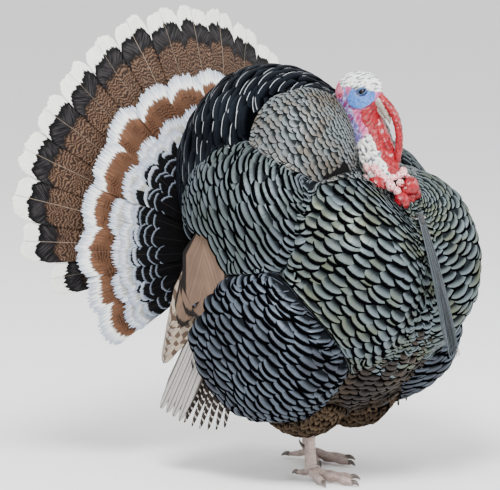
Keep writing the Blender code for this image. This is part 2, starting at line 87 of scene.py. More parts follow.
class Paint:
    """A socket in a material's node tree. Sums on it add Math nodes to that tree."""

    def __init__(self, tree, socket=None):
        self.tree, self.socket = tree, socket

    def node(self, kind, settings=None, inputs=None, output=0):
        """Adds a node: its settings go on first, then the values or links of its inputs."""
        made = self.tree.nodes.new(kind)
        for setting, value in (settings or {}).items():
            setattr(made, setting, value)
        for key, value in (inputs or {}).items():
            if isinstance(value, Paint):
                self.tree.links.new(value.socket, made.inputs[key])
            else:
                made.inputs[key].default_value = value
        return Paint(self.tree, made.outputs[output])

    def math(self, operation, *terms):
        return self.node("ShaderNodeMath", {"operation": operation}, dict(enumerate(terms)))

    def __add__(self, other):
        return self.math("ADD", self, other)

    __radd__ = __add__

    def __sub__(self, other):
        return self.math("SUBTRACT", self, other)

    def __rsub__(self, other):
        return self.math("SUBTRACT", other, self)

    def __mul__(self, other):
        return self.math("MULTIPLY", self, other)

    __rmul__ = __mul__

    def __abs__(self):
        return self.math("ABSOLUTE", self)

    def sine(self):
        return self.math("SINE", self)

    def peak(self, other):
        return self.math("MAXIMUM", self, other)

    def ease(self, low, high):
        """0 below low, 1 above high, and smooth between them."""
        return self.node(
            "ShaderNodeMapRange",
            {"interpolation_type": "SMOOTHSTEP"},
            {"Value": self, "From Min": low, "From Max": high},
        )

    def between(self, low, high):
        """A mix of two colours, with this socket as the share of the second."""
        ends = {}
        for place, colour in ((6, low), (7, high)):
            ends[place] = colour if isinstance(colour, Paint) else (*colour, 1.0)
        return self.node("ShaderNodeMix", {"data_type": "RGBA"}, {0: self, **ends}, output=2)

    def mark(self, name):
        """A number kept on the mesh, such as how far along its feather a point is."""
        return self.node("ShaderNodeAttribute", {"attribute_name": name}, output=2)

    def place(self):
        return self.node("ShaderNodeTexCoord", output=3)

    def point(self, x, y, z):
        return self.node("ShaderNodeCombineXYZ", inputs={0: x, 1: y, 2: z})

    def stretched(self, x, y, z):
        """The place on the piece with each direction scaled, for grain that runs one way."""
        return self.node("ShaderNodeVectorMath", {"operation": "MULTIPLY"}, {0: self.place(), 1: (x, y, z)})

    def grain(self, scale, vector=None, detail=2.0):
        """Soft noise from 0 to 1, scale times to the metre unless a vector is given."""
        return self.node(
            "ShaderNodeTexNoise",
            inputs={"Vector": vector or self.place(), "Scale": scale, "Detail": detail, "Roughness": 0.5},
        )


def new_finish(name, roughness=0.5, metallic=0.0, specular=0.5, coat=0.0):
    """A material with its plain numbers set, and the start of its node tree."""
    finish = bpy.data.materials.new(name)
    finish.use_nodes = True
    shader = finish.node_tree.nodes["Principled BSDF"]
    shader.inputs["Roughness"].default_value = roughness
    shader.inputs["Metallic"].default_value = metallic
    shader.inputs["Specular IOR Level"].default_value = specular
    shader.inputs["Coat Weight"].default_value = coat
    return finish, Paint(finish.node_tree)


def apply_finish(finish, colour, height=None, depth=0.0005, roughness=None, metallic=None):
    """Joins the colour, the relief and the roughness to the material's shader."""
    tree = finish.node_tree
    shader = tree.nodes["Principled BSDF"]
    tree.links.new(colour.socket, shader.inputs["Base Color"])
    if roughness is not None:
        tree.links.new(roughness.socket, shader.inputs["Roughness"])
    if metallic is not None:
        tree.links.new(metallic.socket, shader.inputs["Metallic"])
    if height is not None:
        relief = height.node("ShaderNodeBump", inputs={"Height": height, "Distance": depth})
        tree.links.new(relief.socket, shader.inputs["Normal"])
    return finish


floor_finish, paint = new_finish("studio_paper", roughness=0.9, specular=0.1)
paper = paint.grain(60.0).between((0.90, 0.90, 0.90), (0.93, 0.93, 0.93))
apply_finish(floor_finish, paper)
floor_mesh = bmesh.new()
bmesh.ops.create_grid(floor_mesh, x_segments=2, y_segments=2, size=12.0)
floor_data = bpy.data.meshes.new("studio_floor")
floor_mesh.to_mesh(floor_data)
floor_mesh.free()
studio_floor = bpy.data.objects.new("studio_floor", floor_data)
studio_floor.data.materials.append(floor_finish)
bpy.context.scene.collection.objects.link(studio_floor)

# ---------------------------------------------------------------------------------------------
# Body: two blow-moulded halves of black plastic, bolted through from side to side and roughened for the
# glue, coloured near black so that they are painted shade where they show. They only show where plumage is
# thin: at the tail opening and round the legs.
# ---------------------------------------------------------------------------------------------
shell_finish, paint = new_finish("black_plastic_and_gap_shade", roughness=0.8, specular=0.05)
orange_peel = paint.grain(420.0, detail=3.0)
# near black, darker than plain black plastic: the shell's own colour and painted shade for the gaps between
# feathers
apply_finish(
    shell_finish,
    orange_peel.between((0.0020, 0.0020, 0.0024), (0.0070, 0.0065, 0.0060)),
    height=orange_peel,
    depth=0.0006,
)


def coat(nodes, finish):
    """Gives the frame's own pieces their finish."""
    for node in nodes:
        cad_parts[node].data.materials.clear()
        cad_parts[node].data.materials.append(finish)


coat(("body_shell_right", "body_shell_left", "neck_socket"), shell_finish)

# ---------------------------------------------------------------------------------------------
# Body plumage: real cured feathers glued in overlapping rows from the neck backwards, so that
# each row's tips lie over the roots of the next. They form swollen masses: the breast in two
# halves, a flank and a shoulder on each side, the neck sides, the back, the belly and the rump.
# ---------------------------------------------------------------------------------------------
TAIL_AXIS = Vector((0.0, 0.1557, 0.352))
FAN_SWEEP = math.tan(math.radians(20.0))
HUB_FLAT = 0.02


def fan_surface(reach):
    """How far back the fan's front face lies, at a distance from its hub."""
    return TAIL_AXIS.y + FAN_SWEEP * np.maximum(reach - HUB_FLAT, 0.0)


def unit(vectors):
    return vectors / np.linalg.norm(vectors, axis=-1, keepdims=True)


def eased(value, low, high):
    share = np.clip((value - low) / (high - low), 0.0, 1.0)
    return share * share * (3.0 - 2.0 * share)


def hand_over(name, data, finish, body, replaces):
    """Turns a finished mesh into a piece that moves with its body."""
    data.polygons.foreach_set("use_smooth", np.ones(len(data.polygons), dtype=bool))
    data.materials.append(finish)
    piece = bpy.data.objects.new(name, data)
    bpy.context.scene.collection.objects.link(piece)
    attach(piece, body)
    if replaces:
        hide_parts(*replaces)
    return piece


def sheets_piece(name, sheets, marks, finish, body, replaces=(), thickness=0.0):
    """Makes one piece out of many feathers, each a grid of points, with the marks its finish reads."""
    count, rows, columns = sheets.shape[:3]
    data = bpy.data.meshes.new(name)
    data.vertices.add(count * rows * columns)
    data.vertices.foreach_set("co", sheets.astype(np.float32).ravel())
    number = np.arange(count * rows * columns).reshape(count, rows, columns)
    quads = np.stack(
        (number[:, :-1, :-1], number[:, :-1, 1:], number[:, 1:, 1:], number[:, 1:, :-1]), axis=-1
    ).reshape(-1, 4)
    data.loops.add(quads.size)
    data.polygons.add(len(quads))
    data.loops.foreach_set("vertex_index", quads.astype(np.int32).ravel())
    data.polygons.foreach_set("loop_start", np.arange(0, quads.size, 4, dtype=np.int32))
    data.update(calc_edges=True)
    data.validate()
    for word, values in marks.items():
        layer = data.attributes.new(word, "FLOAT", "POINT")
        spread = np.broadcast_to(values, (count, rows, columns))
        layer.data.foreach_set("value", spread.astype(np.float32).ravel())
    piece = hand_over(name, data, finish, body, replaces)
    if thickness:
        skin = piece.modifiers.new("vane_thickness", "SOLIDIFY")
        skin.thickness = thickness
        skin.offset = 0.0


# how gently two swollen masses run into one another
JOIN_SOFTNESS = 0.013
# the plumage stands back from the neck, all round it, so that the head can turn
NECK_FOOT = np.array((0.0, -0.178, 0.483))
NECK_LEAN = math.radians(24.7)
NECK_AXIS = np.array((0.0, math.sin(NECK_LEAN), math.cos(NECK_LEAN)))
NECK_ROOM = 0.049


def clear_of_neck(points, outward):
    """Moves points that would stand in the neck's way out to a tube round it."""
    from_foot = points - NECK_FOOT
    height = from_foot @ NECK_AXIS
    aside = from_foot - height[..., None] * NECK_AXIS
    distance = np.linalg.norm(aside, axis=-1)
    room = NECK_ROOM * eased(height, -0.012, 0.022)
    push = np.maximum(room - distance, 0.0)
    away = aside / np.maximum(distance, 1e-6)[..., None]
    facing = eased(push, 0.0, 0.006)[..., None]
    return points + away * push[..., None], unit(outward * (1.0 - facing) - away * facing)


class Mass:
    """One swollen mass of plumage: an egg shape whose feathers all point away from a pole."""

    def __init__(self, centre, radii, pole):
        self.centre, self.radii, self.fellows = np.array(centre), np.array(radii), []
        self.pole = unit(np.array(pole, float))
        helper = np.array((0.0, 0.0, 1.0)) if abs(self.pole[2]) < 0.9 else np.array((1.0, 0.0, 0.0))
        self.east = unit(np.cross(helper, self.pole))
        self.north = np.cross(self.pole, self.east)

    def mirrored(self):
        return Mass(self.centre * (-1, 1, 1), self.radii, self.pole * (-1, 1, 1))

    def at(self, drop, turn):
        """The point at an angle down from the pole and an angle round it."""
        ring = np.cos(turn)[..., None] * self.east + np.sin(turn)[..., None] * self.north
        return self.centre + self.radii * (np.cos(drop) * self.pole + np.sin(drop) * ring)

    def clearance(self, points):
        """Distance of points outside the egg, and the outward direction there."""
        scaled = (points - self.centre) / self.radii
        size = np.linalg.norm(scaled, axis=-1)
        slope = scaled / self.radii
        steep = np.linalg.norm(slope, axis=-1)
        return (size - 1.0) * size / steep, slope / steep[..., None]

    def settle(self, points):
        """Brings points onto the egg, or onto its smooth join with its fellows, and gives the
        outward direction there."""
        direction = unit((points - self.centre) / self.radii)
        points = self.centre + self.radii * direction
        outward = unit(direction / self.radii)
        for _ in range(4 if self.fellows else 0):
            gaps, slopes = zip(*(egg.clearance(points) for egg in (self, *self.fellows)))
            shares = np.exp(-np.clip(np.array(gaps), -0.2, 0.2) / JOIN_SOFTNESS)
            total = shares.sum(axis=0)
            outward = unit(np.einsum("n...,n...k->...k", shares / total, np.array(slopes)))
            points = points + outward * (JOIN_SOFTNESS * np.log(total))[..., None]
        return clear_of_neck(points, outward)

    def depth(self, points):
        """About how many metres inside the egg the points are; negative outside it."""
        share = np.linalg.norm((points - self.centre) / self.radii, axis=-1)
        return (1.0 - share) * self.radii.min()

    def roots(self, first, last, sizes, grown_by, dice):
        """Root, flow, pitch and width of every feather, ring after ring from the pole."""
        (small_pitch, small_width), (big_pitch, big_width) = sizes
        turns = np.linspace(0.0, 2.0 * math.pi, 361)
        drop, ring, found = first, 0, []
        while drop < last:
            grown = eased(np.array(drop), 0.0, grown_by)
            pitch = small_pitch + (big_pitch - small_pitch) * grown
            width = small_width + (big_width - small_width) * grown
            circle = self.at(drop, turns)
            below = self.at(drop + 0.01, turns)
            travelled = np.concatenate(
                ((0.0,), np.cumsum(np.linalg.norm(np.diff(circle, axis=0), axis=1)))
            )
            count = max(5, round(travelled[-1] / (0.70 * width)))
            places = np.arange(count) + 0.5 * (ring % 2) + dice.uniform(-0.16, 0.16, count)
            turn = np.interp(places % count * travelled[-1] / count, travelled, turns)
            wobble = drop + dice.uniform(-0.13, 0.13, count) * pitch / self.radii.mean()
            root = np.array([self.at(d, np.array(t)) for d, t in zip(wobble, turn)])
            ahead = np.array([self.at(d + 0.01, np.array(t)) for d, t in zip(wobble, turn)])
            ones = np.ones(count)
            found.append((root, unit(ahead - root), pitch * ones, width * ones))
            drop += pitch / (np.linalg.norm(below - circle, axis=1).mean() / 0.01)
            ring += 1
        return [np.concatenate(column) for column in zip(*found)]


# how deep a feather's root lies in the glue
ROOT_SINK = 0.003


def lay_feathers(mass, root, flow, pitch, width, dice, cover, rise, squareness):
    """Bends a sheet for each feather over its mass; the tip stands proud of the row that follows."""
    s = np.linspace(0.0, 1.0, 10)[None, :, None]
    t = np.linspace(-1.0, 1.0, 9)[None, None, :]
    count = len(root)
    length = (pitch * cover * dice.uniform(0.90, 1.10, count))[:, None, None]
    half = (0.5 * width * dice.uniform(0.92, 1.10, count))[:, None, None]
    lift = (rise * (pitch / pitch.max()) * dice.uniform(0.65, 1.35, count))[:, None, None]
    root, normal = mass.settle(root)
    side = unit(np.cross(normal, flow))
    yaw = dice.uniform(-0.09, 0.09, count)[:, None]
    turned = flow * np.cos(yaw) + side * np.sin(yaw)
    beside = side * np.cos(yaw) - flow * np.sin(yaw)
    along = length * s * (1.0 - squareness * np.abs(t) ** 2.6 * s**2)
    across = half * t * (0.55 + 0.45 * np.sin(np.clip(s / 0.5, 0, 1) * math.pi / 2))
    spot = (
        root[:, None, None]
        + turned[:, None, None] * along[..., None]
        + beside[:, None, None] * across[..., None]
    )
    spot, outward = mass.settle(spot)
    twist = dice.uniform(-0.0008, 0.0008, count)[:, None, None] * t
    height = -ROOT_SINK + lift * s**1.15 - 0.35 * lift * s**7 - 0.30 * lift * t**2 * s + twist
    chance = np.broadcast_to(dice.uniform(0.0, 1.0, count)[:, None, None], height.shape)
    marks = {
        "along": np.broadcast_to(s, height.shape),
        "across": np.broadcast_to(t, height.shape),
        "chance": chance,
    }
    return spot + outward * height[..., None], marks


VANE_ROUGHNESS = 0.38


def plumage(name, lit, tint, edge, edge_from=0.80, rim=0.0, shine=0.45):
    """Vane colours: painted shade, near black, where the row above lies over it, then a painted
    highlight and a tint towards the tip, then edged, and with a rim, outlined with a pale arc."""
    finish, paint = new_finish(name, VANE_ROUGHNESS, specular=0.0)
    along, across = paint.mark("along"), paint.mark("across")
    chance = paint.mark("chance")
    corner = across * across * across * across
    tipward = along + corner * 0.07
    barb_line = along * 30.0 - abs(across) * 10.0
    barbs = paint.grain(1.0, paint.point(barb_line, across * 1.2, chance * 90.0), detail=3.0)
    blotch = paint.grain(16.0, detail=2.0)
    # painted light: shade under the row above near the root, rising to a painted highlight just before the
    # edge
    painted_shade_to_highlight = (tipward + barbs * 0.16 + (chance - 0.5) * 0.06 - 0.08).ease(0.50, edge_from - 0.03)
    hue = (blotch * 1.3 + chance * 0.25 + barbs * 0.25 + along * 0.3 - 0.75).ease(0.10, 0.75)
    face = hue.between(lit, tint)
    face = ((barbs * 1.2 - 0.35).ease(0.15, 0.65) * 0.55).between(face, tuple(0.42 * c for c in lit))
    # the root end gets a dark copy of the lit colour as painted shade
    colour = painted_shade_to_highlight.between(tuple(0.07 * c for c in lit), face)
    border = (tipward + barbs * 0.05 - 0.025).ease(edge_from, edge_from + 0.05)
    colour = border.between(colour, edge)
    if rim:
        outline = tipward.ease(0.950, 0.980) * (1.0 - abs(across + chance - 0.5).ease(0.45, 0.75)) * rim
        colour = outline.between(colour, (0.42, 0.45, 0.48))
    height = barbs * 0.7 + (1.0 - abs(across).ease(0.02, 0.09)) * 0.5
    gloss = painted_shade_to_highlight * (1.0 - border) * shine
    return apply_finish(finish, colour, height, 0.0007, VANE_ROUGHNESS + barbs * 0.25 - 0.10, gloss)


breast = Mass((-0.078, -0.146, 0.356), (0.096, 0.126, 0.146), (0.62, -0.36, 0.70))
flank = Mass((-0.145, -0.030, 0.238), (0.096, 0.150, 0.130), (0.46, -0.52, 0.72))
scapular = Mass((-0.130, 0.000, 0.430), (0.092, 0.134, 0.114), (0.30, -0.80, 0.52))
neck_side = Mass((-0.070, -0.057, 0.546), (0.081, 0.088, 0.098), (0.67, -0.57, 0.48))
neck_side_left = Mass((0.055, -0.035, 0.532), (0.069, 0.074, 0.083), (-0.67, -0.57, 0.48))
collar = Mass((-0.044, -0.092, 0.440), (0.070, 0.088, 0.062), (0.50, -0.80, 0.34))
back = Mass((0.0, 0.085, 0.485), (0.160, 0.150, 0.180), (0.0, -0.96, 0.28))
belly = Mass((0.0, -0.020, 0.262), (0.165, 0.190, 0.150), (0.0, -0.80, 0.60))
keel = Mass((0.0, -0.130, 0.345), (0.075, 0.116, 0.150), (0.0, -0.30, 0.95))
thigh = Mass((-0.062, -0.040, 0.128), (0.060, 0.070, 0.058), (0.0, -0.30, 0.95))
rump = Mass((0.0, 0.075, 0.215), (0.120, 0.100, 0.095), (0.0, -0.70, 0.71))

bronze = plumage(
    "bronze_breast_feather",
    lit=(0.140, 0.178, 0.200),
    tint=(0.105, 0.118, 0.078),
    edge=(0.0012, 0.0012, 0.0016),
)
smoke = plumage(
    "smoke_grey_flank_feather",
    lit=(0.092, 0.112, 0.140),
    tint=(0.052, 0.056, 0.070),
    edge=(0.001, 0.001, 0.0014),
    edge_from=0.76,
)
slate = plumage(
    "slate_scapular_feather",
    lit=(0.110, 0.135, 0.155),
    tint=(0.068, 0.084, 0.078),
    edge=(0.001, 0.0012, 0.0014),
    edge_from=0.78,
)
hackle = plumage(
    "fine_neck_feather",
    lit=(0.200, 0.235, 0.250),
    tint=(0.150, 0.120, 0.092),
    edge=(0.004, 0.004, 0.005),
    edge_from=0.88,
)
raven = plumage(
    "black_back_feather",
    lit=(0.010, 0.013, 0.018),
    tint=(0.004, 0.005, 0.007),
    edge=(0.0010, 0.0012, 0.0016),
    edge_from=0.90,
    rim=0.85,
    shine=0.25,
)
soot = plumage(
    "dark_belly_feather",
    lit=(0.040, 0.036, 0.034),
    tint=(0.060, 0.042, 0.028),
    edge=(0.0012, 0.0010, 0.0010),
    edge_from=0.84,
)
fluff = plumage(
    "brown_thigh_down",
    lit=(0.045, 0.032, 0.023),
    tint=(0.105, 0.073, 0.047),
    edge=(0.008, 0.006, 0.004),
    edge_from=0.93,
    shine=0.0,
)

# name, mass, first and last angle from the pole, then the smallest and the broadest feather,
# each as the pitch of its row and its width
plumage_rows = (
    ("breast", breast, 0.10, 2.75, ((0.0045, 0.0090), (0.0165, 0.040))),
    ("flank", flank, 0.25, 2.80, ((0.0110, 0.0300), (0.0130, 0.042))),
    ("scapular", scapular, 0.20, 2.80, ((0.0070, 0.0200), (0.0118, 0.048))),
    ("neck_side_right", neck_side, 0.10, 2.90, ((0.0035, 0.0050), (0.0110, 0.022))),
    ("neck_side_left", neck_side_left, 0.10, 2.90, ((0.0035, 0.0050), (0.0100, 0.018))),
    ("collar", collar, 0.20, 2.60, ((0.0050, 0.0080), (0.0090, 0.018))),
    ("thigh", thigh, 0.40, 2.95, ((0.0070, 0.0100), (0.0110, 0.014))),
    ("back", back, 0.30, 2.85, ((0.0085, 0.0340), (0.0125, 0.070))),
    ("keel", keel, 0.30, 2.60, ((0.0060, 0.0120), (0.0150, 0.034))),
    ("belly", belly, 0.40, 2.80, ((0.0120, 0.0240), (0.0150, 0.032))),
    ("rump", rump, 0.40, 2.90, ((0.0100, 0.0200), (0.0130, 0.024))),
)
# angle at which the feathers are fully grown, length over pitch, rise of the tip, how square the
# tip is, how many pieces the mass is made in, its finish, and whether both sides have one
plumage_cut = {
    "breast": (1.15, 2.4, 0.0100, 0.22, 5, bronze, True),
    "flank": (0.9, 2.6, 0.0090, 0.20, 5, smoke, True),
    "scapular": (1.0, 2.6, 0.0085, 0.14, 4, slate, True),
    "neck_side_right": (2.1, 2.6, 0.0055, 0.24, 4, hackle, False),
    "neck_side_left": (2.1, 2.6, 0.0050, 0.24, 3, hackle, False),
    "collar": (1.2, 2.6, 0.0060, 0.24, 2, hackle, True),
    "thigh": (1.0, 3.0, 0.0060, 0.45, 1, fluff, True),
    "back": (1.1, 3.0, 0.0080, 0.13, 6, raven, False),
    "keel": (1.1, 2.4, 0.0080, 0.22, 3, bronze, False),
    "belly": (0.8, 2.4, 0.0080, 0.24, 4, soot, False),
    "rump": (0.8, 2.8, 0.0080, 0.40, 3, fluff, False),
}
plumage_plan = []
for name, mass, *rows in plumage_rows:
    *cut, paired = plumage_cut[name]
    plumage_plan.append((name + "_right" if paired else name, mass, *rows, *cut))
    if paired:
        plumage_plan.append((name + "_left", mass.mirrored(), *rows, *cut))
masses = [row[1] for row in plumage_plan]
for mass in masses:
    for other in masses:
        apart = np.linalg.norm(mass.centre - other.centre)
        if other is not mass and apart < 1.1 * max(mass.radii.max(), other.radii.max()) + 0.04:
            mass.fellows.append(other)
# height on the side, and how far back the body's feathers lie over the wing there
WING_EDGE = np.array(
    ((0.15, 0.020), (0.20, 0.050), (0.245, 0.070), (0.29, 0.030), (0.33, 0.002), (0.42, 0.030))
)
WING_TOP = 0.42
WING_FACE = 0.163
# how far inside another mass a feather may lie before it is left out, usually and for some masses
BURIED = 0.010
UNDER = {"belly": -0.002, "keel": 0.004, "collar": 0.004, "thigh": 0.002, "rump": 0.004}
dice = np.random.default_rng(41)
for name, mass, first, last, sizes, grown_by, cover, rise, squareness, parts, finish in plumage_plan:
    root, flow, pitch, width = mass.roots(first, last, sizes, grown_by, dice)
    middle, _ = mass.settle(root + flow * (pitch * cover * 0.75)[:, None])
    tip, _ = mass.settle(root + flow * (pitch * cover)[:, None])
    buried = np.max([other.depth(middle) for other in masses if other is not mass], axis=0)
    reach = np.hypot(middle[:, 0], middle[:, 2] - TAIL_AXIS.z)
    keep = buried < UNDER.get(name.split("_")[0], BURIED)
    keep &= np.maximum(middle[:, 1], tip[:, 1]) < fan_surface(reach) - 0.004
    edge = np.interp(middle[:, 2], WING_EDGE[:, 0], WING_EDGE[:, 1])
    on_wing = (np.abs(middle[:, 0]) > WING_FACE) & (middle[:, 1] > edge) & (middle[:, 2] < WING_TOP)
    keep &= ~on_wing
    root, flow, pitch, width = (column[keep] for column in (root, flow, pitch, width))
    sheets, marks = lay_feathers(mass, root, flow, pitch, width, dice, cover, rise, squareness)
    for part, chosen in enumerate(np.array_split(np.arange(len(root)), parts)):
        sheets_piece(
            f"{name}_feathers_{part + 1}",
            sheets[chosen],
            {word: values[chosen] for word, values in marks.items()},
            finish,
            "body_frame",
        )

# ---------------------------------------------------------------------------------------------
# Tail fan: eighteen real tail feathers, each glued to a stiff leaf that turns on the fan bolt.
# The middle pair lies in front. Each has a pale quill, fine wavy bars, a black band and a frayed
# white tip, and every feather keeps to the same cone, so the fan can fold without tearing.
# ---------------------------------------------------------------------------------------------
TAIL_STEP = math.radians(11.2)
TAIL_LENGTH = 0.400
VANE_START = 0.028
LEAF_PITCH = 0.0013
FIRST_TAIL_LEVEL = 8


def fan_points(angle, reach, aside, level, forward):
    """Points on the fan: reach from the hub, aside along the arc, and forward of the leaf's level."""
    turn = angle + aside / reach
    back_at = fan_surface(reach) + level * LEAF_PITCH - forward
    return np.stack(
        (TAIL_AXIS.x - np.sin(turn) * reach, back_at, TAIL_AXIS.z + np.cos(turn) * reach), axis=-1
    )


def barb_noise(dice, columns, coarse, fine):
    """Uneven barb ends across a feather's tip: a few deep splits and many small ones."""
    wave = np.interp(
        np.linspace(0, 1, columns), np.linspace(0, 1, 6), dice.uniform(-coarse, coarse, 6)
    )
    return wave + dice.uniform(-fine, fine, columns)


tail_finish, paint = new_finish("barred_tail_feather", roughness=0.6, specular=0.08)
reach, to_tip, across = paint.mark("reach"), paint.mark("to_tip"), paint.mark("across")
chance = paint.mark("chance")
barb = paint.grain(1.0, paint.point(reach * 420.0 - abs(across) * 16.0, across * 2.0, chance * 50.0))
wander = paint.grain(1.0, paint.point(reach * 55.0, across * 4.0, chance * 30.0), detail=1.0)
squiggles = (reach * 1120.0 + wander * 24.0 - abs(across) * 3.0).sine()
breaks = paint.grain(1.0, paint.point(reach * 250.0, across * 11.0, chance * 20.0), detail=2.0)
bar_mask = (squiggles * 0.5 + (breaks - 0.5) * 2.0).ease(-0.20, 0.35)
patches = paint.grain(1.0, paint.point(reach * 14.0, across * 1.1, chance * 77.0), detail=1.0)
brown = patches.ease(0.30, 0.70).between((0.190, 0.112, 0.070), (0.125, 0.082, 0.062))
brown = (barb * 1.2 - 0.4).ease(0.1, 0.6).between(tuple(0.5 * c for c in (0.19, 0.112, 0.070)), brown)
brown = bar_mask.between((0.022, 0.013, 0.010), brown)
notch = paint.grain(1.0, paint.point(across * 7.0, chance * 40.0, 0.5), detail=3.0)
ragged = to_tip + (notch - 0.5) * 0.016 + (barb - 0.5) * 0.004
black_band = 1.0 - ragged.ease(0.052, 0.062)
colour = black_band.between(brown, (0.0035, 0.0035, 0.004))
# painted sheen: a paler grey painted over the black band, streaked by the barbs
painted_sheen = ragged.ease(0.028, 0.036) * (1.0 - ragged.ease(0.046, 0.056)) * barb.ease(0.35, 0.70)
colour = (painted_sheen * 0.8).between(colour, (0.040, 0.036, 0.038))
white_tip = 1.0 - ragged.ease(0.0225, 0.0245)
white = (barb * 0.8 + wander * 0.4 - 0.35).ease(0.1, 0.6).between((0.74, 0.74, 0.70), (0.93, 0.92, 0.88))
colour = white_tip.between(colour, white)
quill = 1.0 - abs(across).ease(0.007, 0.018)
colour = (quill * (0.25 + chance * 0.5)).between(colour, (0.36, 0.29, 0.22))
apply_finish(tail_finish, colour, barb * 0.6 + quill * 1.5, depth=0.0008)

for side, word in ((1, "right"), (-1, "left")):
    for number in range(1, 10):
        dice = np.random.default_rng(100 * number + 7 * side + 200)
        rows, columns = 58, 41
        angle = side * (number - 0.5) * TAIL_STEP
        length = TAIL_LENGTH - 0.085 * (max(number - 6.5, 0.0) / 2.5) ** 1.5 - dice.uniform(0.0, 0.009)
        t = np.sign(np.linspace(-1, 1, columns)) * np.abs(np.linspace(-1, 1, columns)) ** 1.15
        tip = length - 0.018 * np.abs(t) ** 5.0 + barb_noise(dice, columns, 0.0040, 0.0018)
        tip = np.minimum(tip, TAIL_LENGTH + 0.002)
        s = np.linspace(0.0, 1.0, rows) ** 0.85
        reach = VANE_START + (tip[None, :] - VANE_START) * s[:, None]
        half = (0.0052 + 0.094 * reach) * (1.0 - 0.10 * eased(s, 0.9, 1.0)[:, None])
        flutter = 0.0010 * np.sin(reach * 70 + number * 2.1 + t * 1.5) * eased(reach, 0.20, 0.38)
        ridge = 0.0011 * np.exp(-((t / 0.05) ** 2)) * (1.0 - 0.7 * s[:, None])
        forward = ridge - 0.0009 * t**2 + flutter
        level = FIRST_TAIL_LEVEL + 2 * (number - 1) + (0 if side > 0 else 1)
        sheet = fan_points(angle, reach, half * t, level, forward)
        marks = {
            "reach": reach[None], "to_tip": (tip - reach)[None], "across": (t + 0 * reach)[None],
            "chance": dice.uniform(0.0, 1.0),
        }
        node = f"tail_feather_{word}_{number}"
        sheets_piece(
            node + "_vane", sheet[None], marks, tail_finish, node + "_leaf",
            replaces=(node,), thickness=0.0005,
        )

# ---------------------------------------------------------------------------------------------
# Tail coverts: eight blocks of shorter feathers on leaves of their own, in front of the long
# ones. From the outside in: chestnut feathers with a fluffy white fringe, two rows of white
# ones, and black ones with a thin pale edge that run in under the plumage of the back.
# ---------------------------------------------------------------------------------------------
COVERT_STEP = math.radians(31.25)


def covert_finish(name, fringe, band, root, fringe_width, band_width, bar_strength):
    """Fringe colour at the tip, then a barred band, then the downy root."""
    finish, paint = new_finish(name, roughness=0.65, specular=0.08)
    reach, to_tip, across = paint.mark("reach"), paint.mark("to_tip"), paint.mark("across")
    chance = paint.mark("chance")
    hair = paint.grain(1.0, paint.point(across * 30.0, reach * 30.0, chance * 60.0), detail=3.0)
    drift = paint.grain(1.0, paint.point(across * 4.0, reach * 60.0, chance * 20.0), detail=2.0)
    cloud = paint.grain(1.0, paint.point(across * 1.4, reach * 25.0, chance * 90.0), detail=2.0)
    bars = (reach * 1250.0 + drift * 20.0).sine().ease(-0.1, 0.6) * cloud.ease(0.35, 0.60)
    bars = bars * to_tip.ease(fringe_width + 0.004, fringe_width + 0.016)
    ragged = to_tip + (hair - 0.5) * 0.0035
    deep_band = tuple(0.45 * c for c in band)
    barred = (to_tip * 28.0 + cloud - 1.10).ease(0.05, 0.60).between(band, deep_band)
    barred = (hair * 1.2 - 0.3).ease(0.1, 0.6).between(deep_band, barred)
    barred = (bars * bar_strength).between(barred, tuple(0.12 * c for c in band))
    inner = ragged.ease(fringe_width + band_width, fringe_width + band_width + 0.010)
    colour = inner.between(barred, root)
    outer = 1.0 - ragged.ease(fringe_width - 0.003, fringe_width + 0.002)
    shaded = tuple(share * c for share, c in zip((0.42, 0.48, 0.60), fringe))
    pale = (hair * 1.5 + to_tip * 30.0 - 0.75).ease(0.0, 0.60).between(shaded, fringe)
    colour = outer.between(colour, pale)
    quill = 1.0 - abs(across).ease(0.010, 0.030)
    colour = (quill * 0.15).between(colour, (0.14, 0.11, 0.10))
    return apply_finish(finish, colour, hair + quill * 0.5, depth=0.0009)


fringed = covert_finish(
    "chestnut_covert",
    fringe=(0.90, 0.90, 0.88),
    band=(0.200, 0.096, 0.054),
    root=(0.50, 0.44, 0.38),
    fringe_width=0.022,
    band_width=0.040,
    bar_strength=0.9,
)
snowy = covert_finish(
    "white_covert",
    fringe=(0.88, 0.89, 0.90),
    band=(0.60, 0.60, 0.58),
    root=(0.05, 0.045, 0.04),
    fringe_width=0.013,
    band_width=0.012,
    bar_strength=0.9,
)
magpie = covert_finish(
    "black_and_white_covert",
    fringe=(0.78, 0.80, 0.80),
    band=(0.006, 0.006, 0.007),
    root=(0.004, 0.004, 0.005),
    fringe_width=0.0060,
    band_width=0.03,
    bar_strength=0.2,
)
inky = covert_finish(
    "black_covert",
    fringe=(0.52, 0.54, 0.56),
    band=(0.004, 0.004, 0.005),
    root=(0.003, 0.003, 0.003),
    fringe_width=0.0025,
    band_width=0.03,
    bar_strength=0.0,
)
